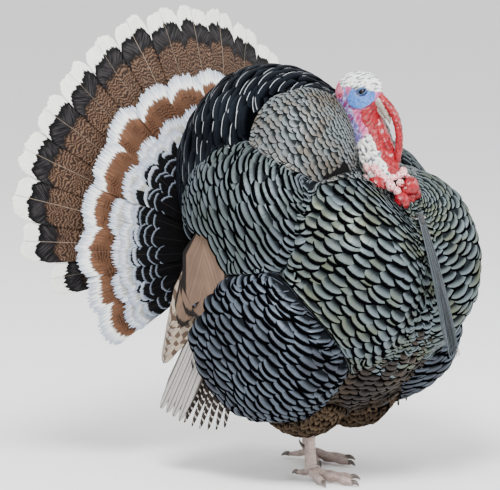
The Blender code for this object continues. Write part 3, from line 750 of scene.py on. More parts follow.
# finish, tip and root distance from the hub, feathers to a block, lift of the tip, frayed depth,
# how far the corners of the tip fall back
covert_rows = (
    (fringed, 0.296, 0.150, 2, 0.0010, 0.0040, 0.017),
    (snowy, 0.242, 0.110, 2, 0.0026, 0.0050, 0.015),
    (snowy, 0.226, 0.095, 3, 0.0036, 0.0030, 0.010),
    (magpie, 0.214, 0.085, 3, 0.0046, 0.0014, 0.011),
    (magpie, 0.204, 0.075, 3, 0.0055, 0.0010, 0.011),
    (inky, 0.194, 0.065, 3, 0.0064, 0.0008, 0.011),
    (inky, 0.182, 0.060, 3, 0.0073, 0.0008, 0.011),
    (inky, 0.168, 0.055, 3, 0.0082, 0.0008, 0.011),
)
for side, word in ((1, "right"), (-1, "left")):
    for number in range(1, 5):
        node = f"covert_{word}_{number}"
        level = 2 * (number - 1) + (0 if side > 0 else 1)
        centre = side * (number - 0.5) * COVERT_STEP
        for row, (finish, tip_at, root_at, count, lift, fray, fall) in enumerate(covert_rows):
            dice = np.random.default_rng(1000 * number + 31 * row + 5 * side + 50)
            rows, columns = 18, 61 if fray > 0.003 else 25
            t = np.linspace(-1, 1, columns)
            s = np.linspace(0.0, 1.0, rows)[:, None]
            sheets, reaches, to_tips, chances = [], [], [], []
            for feather in range(count):
                spread = COVERT_STEP / count
                angle = centre + side * (feather - (count - 1) / 2) * spread
                angle += dice.uniform(-0.05, 0.05) * spread
                lean = abs(angle) / math.pi
                length = tip_at * (1.0 - 0.10 * eased(lean, 0.25, 0.75)) + dice.uniform(-0.006, 0.004)
                tip = length - fall * np.abs(t) ** 2.4 + barb_noise(dice, columns, fray * 0.3, fray)
                reach = root_at + (tip[None, :] - root_at) * s
                half = 0.58 * spread * (0.62 + 0.38 * np.sin(np.minimum(s / 0.6, 1) * math.pi / 2)) * reach
                forward = 0.0006 + lift * (0.35 + 0.65 * s**1.3) - 0.0006 * t**2
                forward = forward + 0.00035 * (feather % 2) + dice.uniform(0, 0.0004)
                forward = forward + 0.0014 * np.sin(t * 2.2 + dice.uniform(0, 6)) * s**3
                sheets.append(fan_points(angle, reach, half * t, level, forward))
                reaches.append(reach)
                to_tips.append(tip - reach)
                chances.append(np.full(reach.shape, dice.uniform(0, 1)))
            marks = {
                "reach": np.array(reaches), "to_tip": np.array(to_tips),
                "across": t[None, None, :], "chance": np.array(chances),
            }
            sheets_piece(
                f"{node}_row_{row + 1}", np.array(sheets), marks, finish, node + "_leaf",
                replaces=(node,) if row == 0 else (),
            )

# ---------------------------------------------------------------------------------------------
# Drooping wings: a stiff plate on each side, hung on one pin, with the wing feathers glued over
# it: six barred secondaries at the back, three broad coppery coverts with a dark edge in front,
# and under them the separate primaries, some grey and some barred dark brown and white.
# ---------------------------------------------------------------------------------------------
WING_PIN = (0.190, 0.0, 0.335)
WING_SKIN = 0.0036
LEFT_DROOP = math.radians(16.0)


def vane_sheet(
    root, direction, normal, length, width, sweep, lift, dice, rows=26, columns=13, blunt=0.5, camber=0.10
):
    """One long wing feather: a curved quill with a vane either side, as a grid of points."""
    root, direction, normal = (np.array(v, float) for v in (root, direction, normal))
    direction = unit(direction - normal * direction.dot(normal))
    side = np.cross(normal, direction)
    t = np.linspace(-1, 1, columns)[None, :]
    s = np.linspace(0.0, 1.0, rows)[:, None]
    tip = length * (1.0 - blunt * (width / length) * np.abs(t) ** 2.5)
    tip = tip + dice.uniform(-0.0015, 0.0015, columns)[None, :]
    along = tip * s
    half = 0.5 * width * np.minimum(1.0, 0.35 + 2.2 * s) * (1.0 - 0.35 * eased(s, 0.75, 1.0))
    bend = sweep * s**2
    height = lift * s - camber * width * t**2 + 0.0010 * np.exp(-((t / 0.08) ** 2))
    points = (
        root
        + direction * along[..., None]
        + side * (half * t + bend)[..., None]
        + normal * height[..., None]
    )
    return points, along + 0.0 * t, tip - along, t + 0.0 * along


def wing_piece(name, feathers, finish, body, replaces=()):
    """One piece out of several long feathers of the same kind."""
    sheets, alongs, tips, acrosses = (np.array(column) for column in zip(*feathers))
    chances = np.linspace(0.05, 0.95, len(feathers))[:, None, None] * 7.3 % 1.0
    marks = {"reach": alongs, "to_tip": tips, "across": acrosses, "chance": chances}
    sheets_piece(name, sheets, marks, finish, body, replaces, thickness=0.0006)


copper, paint = new_finish("copper_wing_covert", roughness=0.5, specular=0.10)
reach, to_tip, across = paint.mark("reach"), paint.mark("to_tip"), paint.mark("across")
chance = paint.mark("chance")
barb_place = paint.point(reach * 170.0 - abs(across) * 22.0, across * 0.8, chance * 40.0)
line = paint.grain(1.0, barb_place, detail=3.0)
cloud = paint.grain(18.0)
brown_share = (line * 0.9 + cloud * 0.5 - 0.25).ease(0.15, 0.80)
brown = brown_share.between((0.085, 0.055, 0.040), (0.175, 0.112, 0.076))
edge = (1.0 - (to_tip + line * 0.003).ease(0.009, 0.014)).peak(abs(across).ease(0.80, 0.86))
colour = edge.between(brown, (0.008, 0.006, 0.005))
apply_finish(copper, colour, line, depth=0.0008)

barred, paint = new_finish("barred_wing_feather", roughness=0.55, specular=0.10)
reach, to_tip, across = paint.mark("reach"), paint.mark("to_tip"), paint.mark("across")
chance = paint.mark("chance")
line = paint.grain(1.0, paint.point(reach * 300.0 - abs(across) * 14.0, across * 2.0, chance * 40.0))
drift = paint.grain(1.0, paint.point(reach * 40.0, across * 2.0, chance * 20.0), detail=2.0)
bars = (reach * 230.0 - across * 2.2 + drift * 4.0).sine().ease(0.10, 0.60)
flecks = (reach * 1500.0 - across * 8.0 + drift * 14.0).sine().ease(0.2, 0.8) * line.ease(0.40, 0.60)
cream = (line + drift * 0.5 - 0.4).ease(0.1, 0.8).between((0.26, 0.20, 0.145), (0.52, 0.45, 0.37))
cream = (flecks * 0.7).between(cream, (0.12, 0.085, 0.060))
colour = bars.between(cream, (0.075, 0.050, 0.036))
colour = (1.0 - to_tip.ease(0.005, 0.009)).between(colour, (0.30, 0.26, 0.22))
quill = 1.0 - abs(across).ease(0.03, 0.09)
colour = (quill * 0.7).between(colour, (0.06, 0.042, 0.030))
apply_finish(barred, colour, line * 0.7 + quill, depth=0.0007)


def primary_finish(name, pale, dark, bar_from, bar_to):
    """Primaries: dark vanes crossed by pale bars, where the bars' wave lies above bar_to."""
    finish, paint = new_finish(name, roughness=0.5, specular=0.10)
    reach, across, chance = paint.mark("reach"), paint.mark("across"), paint.mark("chance")
    line = paint.grain(1.0, paint.point(reach * 300.0 - abs(across) * 14.0, across * 2.0, chance * 40.0))
    drift = paint.grain(1.0, paint.point(reach * 50.0, across * 2.0, chance * 20.0), detail=2.0)
    bars = (reach * 520.0 - across * 1.6 + drift * 3.0).sine().ease(bar_from, bar_to)
    bars = bars * (1.0 - abs(across).ease(0.50, 0.85))
    colour = bars.between(dark, pale)
    colour = (line * 0.35).between(colour, dark)
    quill = 1.0 - abs(across).ease(0.04, 0.12)
    colour = (quill * 0.8).between(colour, (0.05, 0.04, 0.035))
    return apply_finish(finish, colour, line + quill, depth=0.0007)


grey_primary = primary_finish("grey_primary_feather", (0.42, 0.40, 0.38), (0.045, 0.038, 0.034), -1.6, -0.8)
dark_primary = primary_finish(
    "barred_primary_feather", (0.70, 0.67, 0.62), (0.018, 0.012, 0.010), 0.55, 0.85
)

for side, word in ((-1, "right"), (1, "left")):
    dice = np.random.default_rng(61 + side)
    body = word + "_wing"
    low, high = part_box("wing_" + word)
    pin = np.array((side * WING_PIN[0], WING_PIN[1], WING_PIN[2]))
    outward = np.array((side * 1.0, 0.0, 0.0))
    droop = -LEFT_DROOP if side > 0 else 0.0

    def wing_place(back, up, out, side=side, droop=droop, pin=pin):
        """A place on the wing, from its pin: back, up, and out from the plate's outer face."""
        y = back * math.cos(droop) - up * math.sin(droop)
        z = back * math.sin(droop) + up * math.cos(droop)
        return pin + np.array((side * (WING_SKIN + out), y, z))

    def wing_line(angle, droop=droop):
        """A direction on the wing: degrees behind straight down."""
        turn = math.radians(angle)
        y, z = math.sin(turn), -math.cos(turn)
        turned_y = y * math.cos(droop) - z * math.sin(droop)
        turned_z = y * math.sin(droop) + z * math.cos(droop)
        return np.array((0, turned_y, turned_z))

    secondaries, coverts, greys, darks = [], [], [], []
    for n, share in enumerate(np.linspace(0.0, 1.0, 6)):
        quill_root = wing_place(0.055 + 0.030 * share, 0.050 - 0.075 * share, 0.0005 + 0.0014 * (5 - n))
        secondaries.append(vane_sheet(
            quill_root, wing_line(24 - 2 * share), outward, 0.150 - 0.012 * share, 0.050,
            side * 0.012, 0.0010, dice, blunt=0.6,
        ))
    # back and up from the pin, aim in degrees behind straight down, length, width
    covert_places = (
        (0.075, 0.010, 12.0, 0.095, 0.050),
        (0.062, 0.045, 6.0, 0.110, 0.060),
        (0.046, 0.078, -2.0, 0.150, 0.100),
    )
    for n, (back_at, up_at, aim, length, width) in enumerate(covert_places):
        coverts.append(vane_sheet(
            wing_place(back_at, up_at, 0.0105 + 0.0018 * n), wing_line(aim), outward, length, width,
            side * 0.006, -0.0010, dice, rows=34, columns=21, blunt=0.30, camber=0.02,
        ))
    for n, share in enumerate(np.linspace(0.0, 1.0, 4)):
        quill_root = wing_place(0.040 + 0.042 * (1 - share), -0.088, -0.0035 + 0.0011 * n)
        greys.append(vane_sheet(
            quill_root, wing_line(27 - 3 * share), outward, 0.158 + 0.012 * share, 0.024,
            side * 0.006, 0.0, dice, blunt=1.0,
        ))
    for n, share in enumerate(np.linspace(0.0, 1.0, 6)):
        quill_root = wing_place(0.034 - 0.044 * share, -0.100, -0.0100 + 0.0010 * n)
        darks.append(vane_sheet(
            quill_root, wing_line(27 - 17 * share), outward, 0.165 - 0.020 * share**2, 0.0145,
            side * 0.004, 0.0, dice, blunt=1.8,
        ))
    wing_piece(f"wing_{word}_secondaries", secondaries, barred, body, ("wing_" + word,))
    wing_piece(f"wing_{word}_coverts", coverts, copper, body)
    wing_piece(f"wing_{word}_grey_primaries", greys, grey_primary, body)
    wing_piece(
        f"wing_{word}_barred_primaries", darks, dark_primary, body,
        ("flight_feathers_" + word,),
    )

# ---------------------------------------------------------------------------------------------
# Head and neck: one soft rubber casting, painted: a wrinkled white crown, a blue face, a pink
# and violet nape, a red throat, and white warts round the lower neck. It turns on its post.
# ---------------------------------------------------------------------------------------------
HEAD_TURN = math.radians(12.0)
NECK_FRAME = (
    Matrix.Translation(Vector(NECK_FOOT))
    @ Matrix.Rotation(-NECK_LEAN, 4, "X")
    @ Matrix.Rotation(HEAD_TURN, 4, "Z")
)
neck_turn = np.array(NECK_FRAME.to_3x3())


def from_neck(points):
    return np.asarray(points) @ neck_turn.T + NECK_FOOT


def smooth_path(knots, count):
    """A smooth line of count points through the knots, with any radii carried along."""
    knots = np.array(knots, float)
    steps = np.linalg.norm(np.diff(knots[:, :3], axis=0), axis=1) ** 0.5
    at = np.concatenate(((0.0,), np.cumsum(steps)))
    where = np.linspace(0.0, at[-1], count)
    slopes = np.gradient(knots, at, axis=0)
    left = np.clip(np.searchsorted(at, where, side="right") - 1, 0, len(at) - 2)
    width = at[left + 1] - at[left]
    u = ((where - at[left]) / width)[:, None]
    width = width[:, None]
    return (
        knots[left] * (2 * u**3 - 3 * u**2 + 1)
        + knots[left + 1] * (3 * u**2 - 2 * u**3)
        + slopes[left] * width * (u**3 - 2 * u**2 + u)
        + slopes[left + 1] * width * (u**3 - u**2)
    )


def rough(points, scale, seed):
    """Smooth noise from about -1 to 1 at every point, the same on each run."""
    shift = Vector((seed * 3.1, seed * 1.7, seed * 5.3))
    flat = points.reshape(-1, 3) * scale
    values = np.array([noise.noise(Vector(p) + shift) for p in flat])
    return values.reshape(points.shape[:-1])


def closed_loft(name, rings, marks, finish, body, replaces=()):
    """Skins a closed body over rings of points; its two ends close on their middles."""
    count, around = rings.shape[:2]
    bm = bmesh.new()
    rows = [[bm.verts.new(p) for p in ring] for ring in rings]
    for below, above in zip(rows, rows[1:]):
        for i in range(around):
            j = (i + 1) % around
            bm.faces.new((below[i], below[j], above[j], above[i]))
    for row, ring, first in ((rows[0], rings[0], True), (rows[-1], rings[-1], False)):
        middle = bm.verts.new(ring.mean(axis=0))
        for i in range(around):
            j = (i + 1) % around
            bm.faces.new((middle, row[j], row[i]) if first else (middle, row[i], row[j]))
    bmesh.ops.recalc_face_normals(bm, faces=bm.faces)
    data = bpy.data.meshes.new(name)
    bm.to_mesh(data)
    bm.free()
    for word, values in marks.items():
        full = np.broadcast_to(values, (count, around)).astype(np.float32)
        layer = data.attributes.new(word, "FLOAT", "POINT")
        layer.data.foreach_set("value", np.concatenate((full.ravel(), (full[0, 0], full[-1, 0]))))
    hand_over(name, data, finish, body, replaces)


def tube_rings(path, radii, around, flatten=1.0):
    """Rings of points round a path, each at a right angle to it."""
    path, radii = np.array(path, float), np.array(radii, float)
    ahead = unit(np.gradient(path, axis=0))
    start = np.array((1.0, 0.0, 0.0)) if abs(ahead[0][0]) < 0.8 else np.array((0.0, 1.0, 0.0))
    sides, side = [], start
    for direction in ahead:
        side = unit(side - direction * side.dot(direction))
        sides.append(side)
    sides = np.array(sides)
    ups = np.cross(ahead, sides)
    turn = np.linspace(0, 2 * math.pi, around, endpoint=False)
    size = radii[:, None]
    return (
        path[:, None]
        + sides[:, None] * (np.cos(turn) * size)[..., None]
        + ups[:, None] * (np.sin(turn) * size * flatten)[..., None]
    )


# height up the neck, middle of the ring, half its width, half its depth
skull = smooth_path([
    (0.004, 0.0060, 0.0, 0.0270, 0.0300), (0.030, 0.0100, 0.0, 0.0260, 0.0285),
    (0.060, 0.0120, 0.0, 0.0245, 0.0285), (0.090, 0.0125, 0.0, 0.0235, 0.0295),
    (0.115, 0.0125, 0.0, 0.0230, 0.0310), (0.135, 0.0100, 0.0, 0.0235, 0.0355),
    (0.150, 0.0060, 0.0, 0.0240, 0.0410), (0.166, 0.0030, 0.0, 0.0240, 0.0430),
    (0.180, 0.0040, 0.0, 0.0225, 0.0390), (0.191, 0.0060, 0.0, 0.0180, 0.0310),
    (0.199, 0.0080, 0.0, 0.0110, 0.0190), (0.203, 0.0090, 0.0, 0.0030, 0.0050),
], 180)
turn = np.linspace(0, 2 * math.pi, 130, endpoint=False)
height = skull[:, :1] + 0 * turn
taper = 1.0 - 0.22 * np.maximum(np.cos(turn), 0) ** 2 * eased(height, 0.12, 0.16)
flesh_x = skull[:, 3:4] * np.sin(turn) * taper
flesh_y = skull[:, 1:2] - skull[:, 4:5] * np.cos(turn)
face = np.stack((flesh_x, flesh_y, height), axis=-1)
outward = unit(face - np.stack((0 * flesh_x, skull[:, 1:2] + 0 * flesh_y, height), axis=-1))
beside = eased(np.abs(np.sin(turn)), 0.30, 0.65)
EYE = np.array((0.0212, -0.0125, 0.1630))
from_eye = np.hypot((flesh_y - EYE[1]) / 1.35, height - EYE[2])
ragged = 0.0030 * rough(face, 90.0, 7) + 0.0016 * rough(face, 260.0, 8)
wrinkle = rough(face * (1.0, 0.55, 2.4), 170.0, 1)
slant = height * 0.83 + flesh_y * 0.55
folds = rough(np.stack((face[..., 0], slant, 0.25 * (height - flesh_y)), axis=-1), 260.0, 2)
wart = rough(face, 190.0, 3)
fine = rough(face, 520.0, 4)
# where the throat's red ends behind, and the gape above it
red_back = np.interp(height, (0.0, 0.037, 0.083, 0.123), (-0.016, -0.0105, -0.0035, 0.0020))
throat = 1 - eased(flesh_y + ragged, red_back - 0.0018, red_back + 0.0022)
throat *= 1 - eased(height + 0.30 * (flesh_y + 0.0025) + ragged * 0.5, 0.1330, 0.1370)
throat *= eased(height, 0.006, 0.030)
cheek = np.hypot((flesh_y + 0.0070) / 0.0235, (height - 0.1560) / 0.0190)
blue = 1 - eased(cheek + 22.0 * ragged, 0.82, 1.12)
crown_line = 0.1700 + 0.55 * (flesh_y + 0.004) + 0.0015 * np.sin(flesh_y * 260.0)
crown = eased(height + 0.8 * ragged, crown_line, crown_line + 0.0035) * (1 - eased(flesh_y, 0.016, 0.030))
rosy = eased(height + ragged, 0.1640, 0.1740) * eased(flesh_y + ragged, 0.014, 0.024)
warty = (1 - eased(height + 0.25 * flesh_y + ragged, 0.0800, 0.1080)) * (1 - throat)
pinkness = (1 - eased(flesh_y - red_back, 0.003, 0.020)) * eased(height, 0.040, 0.080) * (1 - throat)
brow_line = 0.1702 + 0.45 * (flesh_y + 0.0125)
brow = np.exp(-(((height - brow_line) / 0.0022) ** 2)) * beside
brow *= np.exp(-(((flesh_y + 0.014) / 0.015) ** 4))
under_lid = np.exp(-(((from_eye - 0.0092) / 0.0014) ** 2)) * (height < EYE[2] + 0.002) * beside
jaw_crease = np.exp(-(((cheek - 1.06) / 0.07) ** 2)) * (1 - crown) * (flesh_y > -0.020)
relief = (
    -0.0050 * np.exp(-((from_eye / 0.0078) ** 2)) * beside
    + 0.0030 * brow
    + 0.0009 * under_lid
    - 0.0012 * jaw_crease
    + 0.0017 * wrinkle * crown
    + 0.0013 * folds * (1 - crown) * (1 - blue) * (1 - warty) * (1 - throat)
    + 0.0015 * folds * throat
    + 0.0034 * np.maximum(wart, -0.15) * warty
    + 0.0004 * fine
)
head_rings = from_neck(face + outward * relief[..., None])
skin_marks = {
    "crown": crown, "throat": throat, "warty": warty, "blue": blue, "rosy": rosy, "pink": pinkness,
    "near_eye": from_eye * 100.0, "folds": folds * 0.5 + 0.5, "sunk": np.clip(0.5 - relief * 260.0, 0, 1),
    "crease": jaw_crease, "lined": wrinkle * 0.5 + 0.5, "bead": wart * 0.9 + 0.62,
}
skin, paint = new_finish("painted_head_skin", roughness=0.40, specular=0.4)
wrinkles = paint.grain(330.0, detail=4.0)
dapple = paint.grain(150.0, detail=3.0)
folds_mark = paint.mark("folds")
nape = (wrinkles * 1.2 - 0.35).ease(0.15, 0.45).between((0.12, 0.12, 0.36), (0.42, 0.43, 0.66))
nape = (folds_mark + dapple * 0.5 - 0.30).ease(0.35, 0.65).between(nape, (0.20, 0.03, 0.12))
pink = folds_mark.ease(0.30, 0.70).between((0.62, 0.17, 0.32), (0.30, 0.04, 0.14))
colour = (paint.mark("pink") + (dapple - 0.5) * 0.5).ease(0.30, 0.70).between(nape, pink)
blue_share = (dapple * 0.8 + wrinkles * 0.5 - 0.2).ease(0.1, 0.75)
sky_blue = blue_share.between((0.015, 0.055, 0.26), (0.085, 0.23, 0.60))
colour = (paint.mark("blue") + (dapple - 0.5) * 0.3).ease(0.30, 0.65).between(colour, sky_blue)
flush = dapple.ease(0.35, 0.60).between((0.25, 0.012, 0.045), (0.58, 0.17, 0.25))
colour = (paint.mark("rosy") + (dapple - 0.5) * 0.6).ease(0.30, 0.70).between(colour, flush)
chalk = wrinkles.ease(0.34, 0.46).between((0.12, 0.15, 0.15), (0.78, 0.81, 0.76))
chalk = paint.mark("lined").ease(0.30, 0.52).between((0.13, 0.17, 0.17), chalk)
colour = (paint.mark("crown") + (dapple - 0.5) * 0.3).ease(0.30, 0.55).between(colour, chalk)
bead = paint.mark("bead").ease(0.30, 0.62)
wart_white = (bead * (0.6 + dapple * 0.5)).between((0.11, 0.12, 0.14), (0.86, 0.85, 0.82))
colour = (paint.mark("warty") + (dapple - 0.5) * 0.3).ease(0.35, 0.60).between(colour, wart_white)
red = (dapple * 0.7 + wrinkles * 0.5).ease(0.35, 0.75).between((0.10, 0.0006, 0.0020), (0.30, 0.004, 0.012))
colour = (paint.mark("throat") + (dapple - 0.5) * 0.4).ease(0.35, 0.60).between(colour, red)
shade = paint.mark("sunk").ease(0.60, 1.0).peak(paint.mark("crease") * 0.8) * 0.65
colour = shade.between(colour, (0.05, 0.02, 0.05))
rim_of_eye = 1.0 - paint.mark("near_eye").ease(0.52, 0.74)
colour = (rim_of_eye * 0.95).between(colour, (0.006, 0.009, 0.022))
apply_finish(skin, colour, wrinkles + dapple * 0.6, depth=0.0012)
closed_loft(
    "head_skin", head_rings, skin_marks, skin, "head_group", replaces=("head", "neck")
)

# ---------------------------------------------------------------------------------------------
# Eyes: glass taxidermy eyes pushed into the casting, almost black, each behind a rolled
# grey-blue lid and under a heavy fold of the brow.
# ---------------------------------------------------------------------------------------------
eye_glass, paint = new_finish("dark_glass_eye", roughness=0.08, specular=0.35, coat=0.1)
iris = paint.grain(700.0, detail=2.0)
apply_finish(eye_glass, iris.between((0.0012, 0.0010, 0.0010), (0.0060, 0.0035, 0.0025)))
lid_finish, paint = new_finish("grey_blue_eyelid", roughness=0.45, specular=0.4)
crease = paint.grain(900.0, detail=3.0)
apply_finish(lid_finish, crease.between((0.012, 0.020, 0.050), (0.10, 0.20, 0.42)), crease, depth=0.0004)
EYE_RADII = (0.0052, 0.0062, 0.0050)
EYE_ASIDE = 0.0178
LID_ASIDE = 0.0204
LID_HALF_LENGTH = 0.0082
LID_HALF_OPENING = 0.0046
for side, word in ((-1, "right"), (1, "left")):
    level = np.linspace(0.02, math.pi - 0.02, 26)[:, None]
    turn = np.linspace(0, 2 * math.pi, 32, endpoint=False)
    ball = EYE_RADII * np.stack(
        (np.cos(level) + 0 * turn, np.sin(level) * np.cos(turn), np.sin(level) * np.sin(turn)), axis=-1
    )
    closed_loft(
        f"glass_eye_{word}", from_neck(ball + (side * EYE_ASIDE, EYE[1], EYE[2])), {}, eye_glass,
        "head_group", replaces=("eye_" + word,),
    )
    turn = np.linspace(0, 2 * math.pi, 44, endpoint=True)
    upper_half = np.maximum(np.sin(turn), 0)
    lid = np.stack((
        side * (LID_ASIDE + 0.0016 * upper_half - 0.0012 * np.abs(np.cos(turn))),
        EYE[1] + LID_HALF_LENGTH * np.cos(turn),
        EYE[2] + LID_HALF_OPENING * np.sin(turn) - 0.0006 * np.cos(turn),
    ), axis=-1)
    thickness = 0.0011 + 0.0010 * upper_half
    rings = from_neck(tube_rings(lid, thickness, 10))
    closed_loft(f"eyelid_{word}", rings, {}, lid_finish, "head_group")

# ---------------------------------------------------------------------------------------------
# Beak: two horn-coloured castings, the upper one longer and hooked over the lower one.
# ---------------------------------------------------------------------------------------------
horn, paint = new_finish("grey_horn", roughness=0.35, specular=0.5)
layer = paint.grain(1.0, paint.stretched(260.0, 260.0, 700.0), detail=3.0)
horn_colour = layer.ease(0.3, 0.7).between((0.10, 0.085, 0.075), (0.36, 0.32, 0.27))
apply_finish(horn, horn_colour, layer, depth=0.0004)
upper = smooth_path([
    (0.0, -0.0190, 0.1480, 0.0110), (0.0, -0.0275, 0.1360, 0.0095), (0.0, -0.0310, 0.1200, 0.0065),
    (0.0, -0.0325, 0.1080, 0.0035), (0.0, -0.0315, 0.0995, 0.0008),
], 34)
lower = smooth_path([
    (0.0, -0.0160, 0.1400, 0.0075), (0.0, -0.0215, 0.1270, 0.0060), (0.0, -0.0245, 0.1140, 0.0035),
    (0.0, -0.0250, 0.1060, 0.0008),
], 26)
closed_loft(
    "beak_upper_horn", from_neck(tube_rings(upper[:, :3], upper[:, 3], 28)), {}, horn,
    "head_group", replaces=("beak_upper",),
)
closed_loft(
    "beak_lower_horn", from_neck(tube_rings(lower[:, :3], lower[:, 3], 24, flatten=0.8)), {}, horn,
    "head_group", replaces=("beak_lower",),
)

# ---------------------------------------------------------------------------------------------
# Snood, dewlap and caruncles: soft red rubber with a wet gloss. The snood grows from the brow
# and hangs over the beak; the dewlap is a fold of the throat; the caruncles are fat red balls
# strung with white and pink beads where the neck meets the breast.
# ---------------------------------------------------------------------------------------------
wattle, paint = new_finish("wet_red_wattle", roughness=0.34, specular=0.35, coat=0.25)
pebble = paint.grain(360.0, detail=3.0)
patch = paint.grain(90.0, detail=2.0)
# how pale the flesh is; on the caruncles it also holds a painted highlight on each ball's top
pale_and_top_highlight = paint.mark("pale")
red = (pebble * 0.9 + patch * 0.4).ease(0.35, 0.80).between((0.06, 0.0003, 0.0012), (0.32, 0.004, 0.012))
pinkish = pebble.ease(0.35, 0.62).between((0.52, 0.05, 0.09), (0.84, 0.60, 0.58))
colour = (pale_and_top_highlight + (patch - 0.5) * 0.5 + (pebble - 0.5) * 0.3).ease(0.35, 0.75).between(red, pinkish)
apply_finish(wattle, colour, pebble, depth=0.0009)

snood_line = smooth_path([
    (0.0, -0.0290, 0.1520, 0.0058), (0.0, -0.0345, 0.1380, 0.0068), (0.0, -0.0415, 0.1220, 0.0070),
    (0.0, -0.0450, 0.1045, 0.0066), (0.0, -0.0425, 0.0825, 0.0062), (0.0, -0.0335, 0.0585, 0.0056),
    (0.0, -0.0240, 0.0410, 0.0046), (0.0, -0.0200, 0.0330, 0.0012),
], 110)
rings = tube_rings(snood_line[:, :3], snood_line[:, 3], 30)
middle = rings.mean(axis=1, keepdims=True)
bump = rough(rings, 380.0, 5)
rings = rings + unit(rings - middle) * (0.0016 * bump)[..., None]
closed_loft(
    "snood_flesh", from_neck(rings), {"pale": 0.10 + 0.30 * eased(-rings[..., 1], 0.044, 0.052)}, wattle,
    "head_group", replaces=("snood",),
)
dewlap_line = smooth_path([
    (0.0, -0.0080, 0.1280, 0.0040), (0.0, -0.0110, 0.1080, 0.0095), (0.0, -0.0120, 0.0810, 0.0110),
    (0.0, -0.0135, 0.0590, 0.0110), (0.0, -0.0120, 0.0360, 0.0105), (0.0, -0.0120, 0.0180, 0.0060),
], 90)
rings = tube_rings(dewlap_line[:, :3], dewlap_line[:, 3], 36)
fold = rough(rings * (1.0, 1.0, 0.5), 220.0, 6)
rings = rings + unit(rings - rings.mean(axis=1, keepdims=True)) * (0.0022 * fold)[..., None]
closed_loft(
    "dewlap_flesh", from_neck(rings), {"pale": 0.0}, wattle, "head_group", replaces=("dewlap",)
)


def flesh_balls(name, balls, finish, body, replaces=()):
    """Swollen lumps in one piece: each ball is pulled out of round and pebbled."""
    bm = bmesh.new()
    pale_and_highlight_layer = bm.verts.layers.float.new("pale")
    for number, (x, y, z, radius, tall, bleached) in enumerate(balls):
        made = bmesh.ops.create_icosphere(bm, subdivisions=4 if radius > 0.007 else 3, radius=radius)
        points = np.array([v.co for v in made["verts"]])
        swell = 1.0 + 0.10 * rough(points, 90.0, 10 + number) + 0.05 * rough(points, 330.0, 30 + number)
        points = points * swell[:, None] * (1.0, 1.0, tall)
        places = from_neck(points + (x, y, z))
        for vertex, place, unit_z in zip(made["verts"], places, points[:, 2] / radius):
            vertex.co = place
            # each ball is painted paler on top and less pale underneath: a painted highlight and painted
            # shade, as from light above
            vertex[pale_and_highlight_layer] = min(1.0, max(0.0, bleached + 0.30 * unit_z))
    data = bpy.data.meshes.new(name)
    bm.to_mesh(data)
    bm.free()
    hand_over(name, data, finish, body, replaces)


# place in the neck's frame, radius, height over width, how pale
red_balls = [
    (-0.0300, 0.0120, 0.0085, 0.0180, 0.95, 0.05), (-0.0180, -0.0164, -0.0268, 0.0130, 1.10, 0.10),
    (0.0050, -0.0270, -0.0060, 0.0150, 1.05, 0.15), (-0.0060, -0.0240, -0.0110, 0.0085, 1.00, 0.30),
    (0.0250, -0.0080, 0.0040, 0.0150, 0.95, 0.12), (0.0240, 0.0180, 0.0080, 0.0165, 0.95, 0.15),
    (0.0000, 0.0330, 0.0100, 0.0150, 0.95, 0.15), (0.0190, -0.0230, -0.0180, 0.0110, 1.05, 0.12),
    (0.0060, -0.0200, -0.0230, 0.0090, 1.05, 0.12),
]
white_beads = [
    (-0.0200, 0.0213, 0.0440, 0.0075, 1.3, 0.98), (-0.0240, 0.0080, 0.0370, 0.0072, 1.3, 0.98),
    (-0.0235, 0.0042, 0.0255, 0.0078, 1.4, 0.95), (-0.0255, -0.0030, 0.0140, 0.0078, 1.4, 0.92),
    (-0.0255, -0.0105, 0.0010, 0.0075, 1.4, 0.90), (-0.0210, -0.0165, -0.0110, 0.0066, 1.3, 0.80),
    (-0.0130, -0.0220, 0.0010, 0.0070, 1.2, 0.62), (-0.0080, -0.0215, 0.0134, 0.0066, 1.2, 0.70),
    (-0.0165, -0.0150, 0.0120, 0.0064, 1.2, 0.80), (0.0020, -0.0240, 0.0160, 0.0070, 1.2, 0.75),
    (0.0100, -0.0220, 0.0210, 0.0066, 1.2, 0.90), (0.0180, -0.0150, 0.0220, 0.0070, 1.2, 0.90),
    (0.0240, -0.0020, 0.0240, 0.0070, 1.2, 0.92), (0.0230, 0.0140, 0.0300, 0.0072, 1.2, 0.92),
    (0.0120, 0.0300, 0.0320, 0.0072, 1.2, 0.92), (-0.0080, 0.0330, 0.0340, 0.0072, 1.2, 0.92),
    (-0.0150, 0.0290, 0.0300, 0.0068, 1.2, 0.92), (0.0080, -0.0260, 0.0080, 0.0062, 1.1, 0.55),
]
flesh_balls("caruncle_balls", red_balls, wattle, "head_group", replaces=("caruncles",))
flesh_balls("caruncle_beads", white_beads, wattle, "head_group")

# ---------------------------------------------------------------------------------------------
# Beard: a hank of long grey-blue bristles, bound at the top and hung on a wire staple in the
# breast, so that it swings. It spreads and frays towards its end.
# ---------------------------------------------------------------------------------------------
BEARD_TOP = np.array((0.0, -0.2345, 0.444))
BEARD_END = np.array((0.0, -0.3070, 0.222))
bristle, paint = new_finish("grey_blue_bristle", roughness=0.5, specular=0.4)
chance = paint.mark("chance")
hair_share = (chance + paint.grain(260.0) * 0.4 - 0.2).ease(0.05, 0.95)
hair = hair_share.between((0.010, 0.012, 0.015), (0.085, 0.105, 0.120))
apply_finish(bristle, hair, paint.grain(500.0), depth=0.0002)
dice = np.random.default_rng(77)
strands, sides, joints = 190, 5, 16
s = np.linspace(0.0, 1.0, joints)[None, :, None]
turn_at, spread = dice.uniform(0, 2 * math.pi, strands), np.sqrt(dice.uniform(0, 1, strands))
across = (np.cos(turn_at) * spread)[:, None, None]
deep = (np.sin(turn_at) * spread)[:, None, None]
reach = dice.uniform(0.80, 1.0, strands)[:, None, None]
line = BEARD_TOP + (BEARD_END - BEARD_TOP) * s * reach
width = 0.0050 + 0.0060 * np.sin(s * 2.0) + 0.004 * s**3
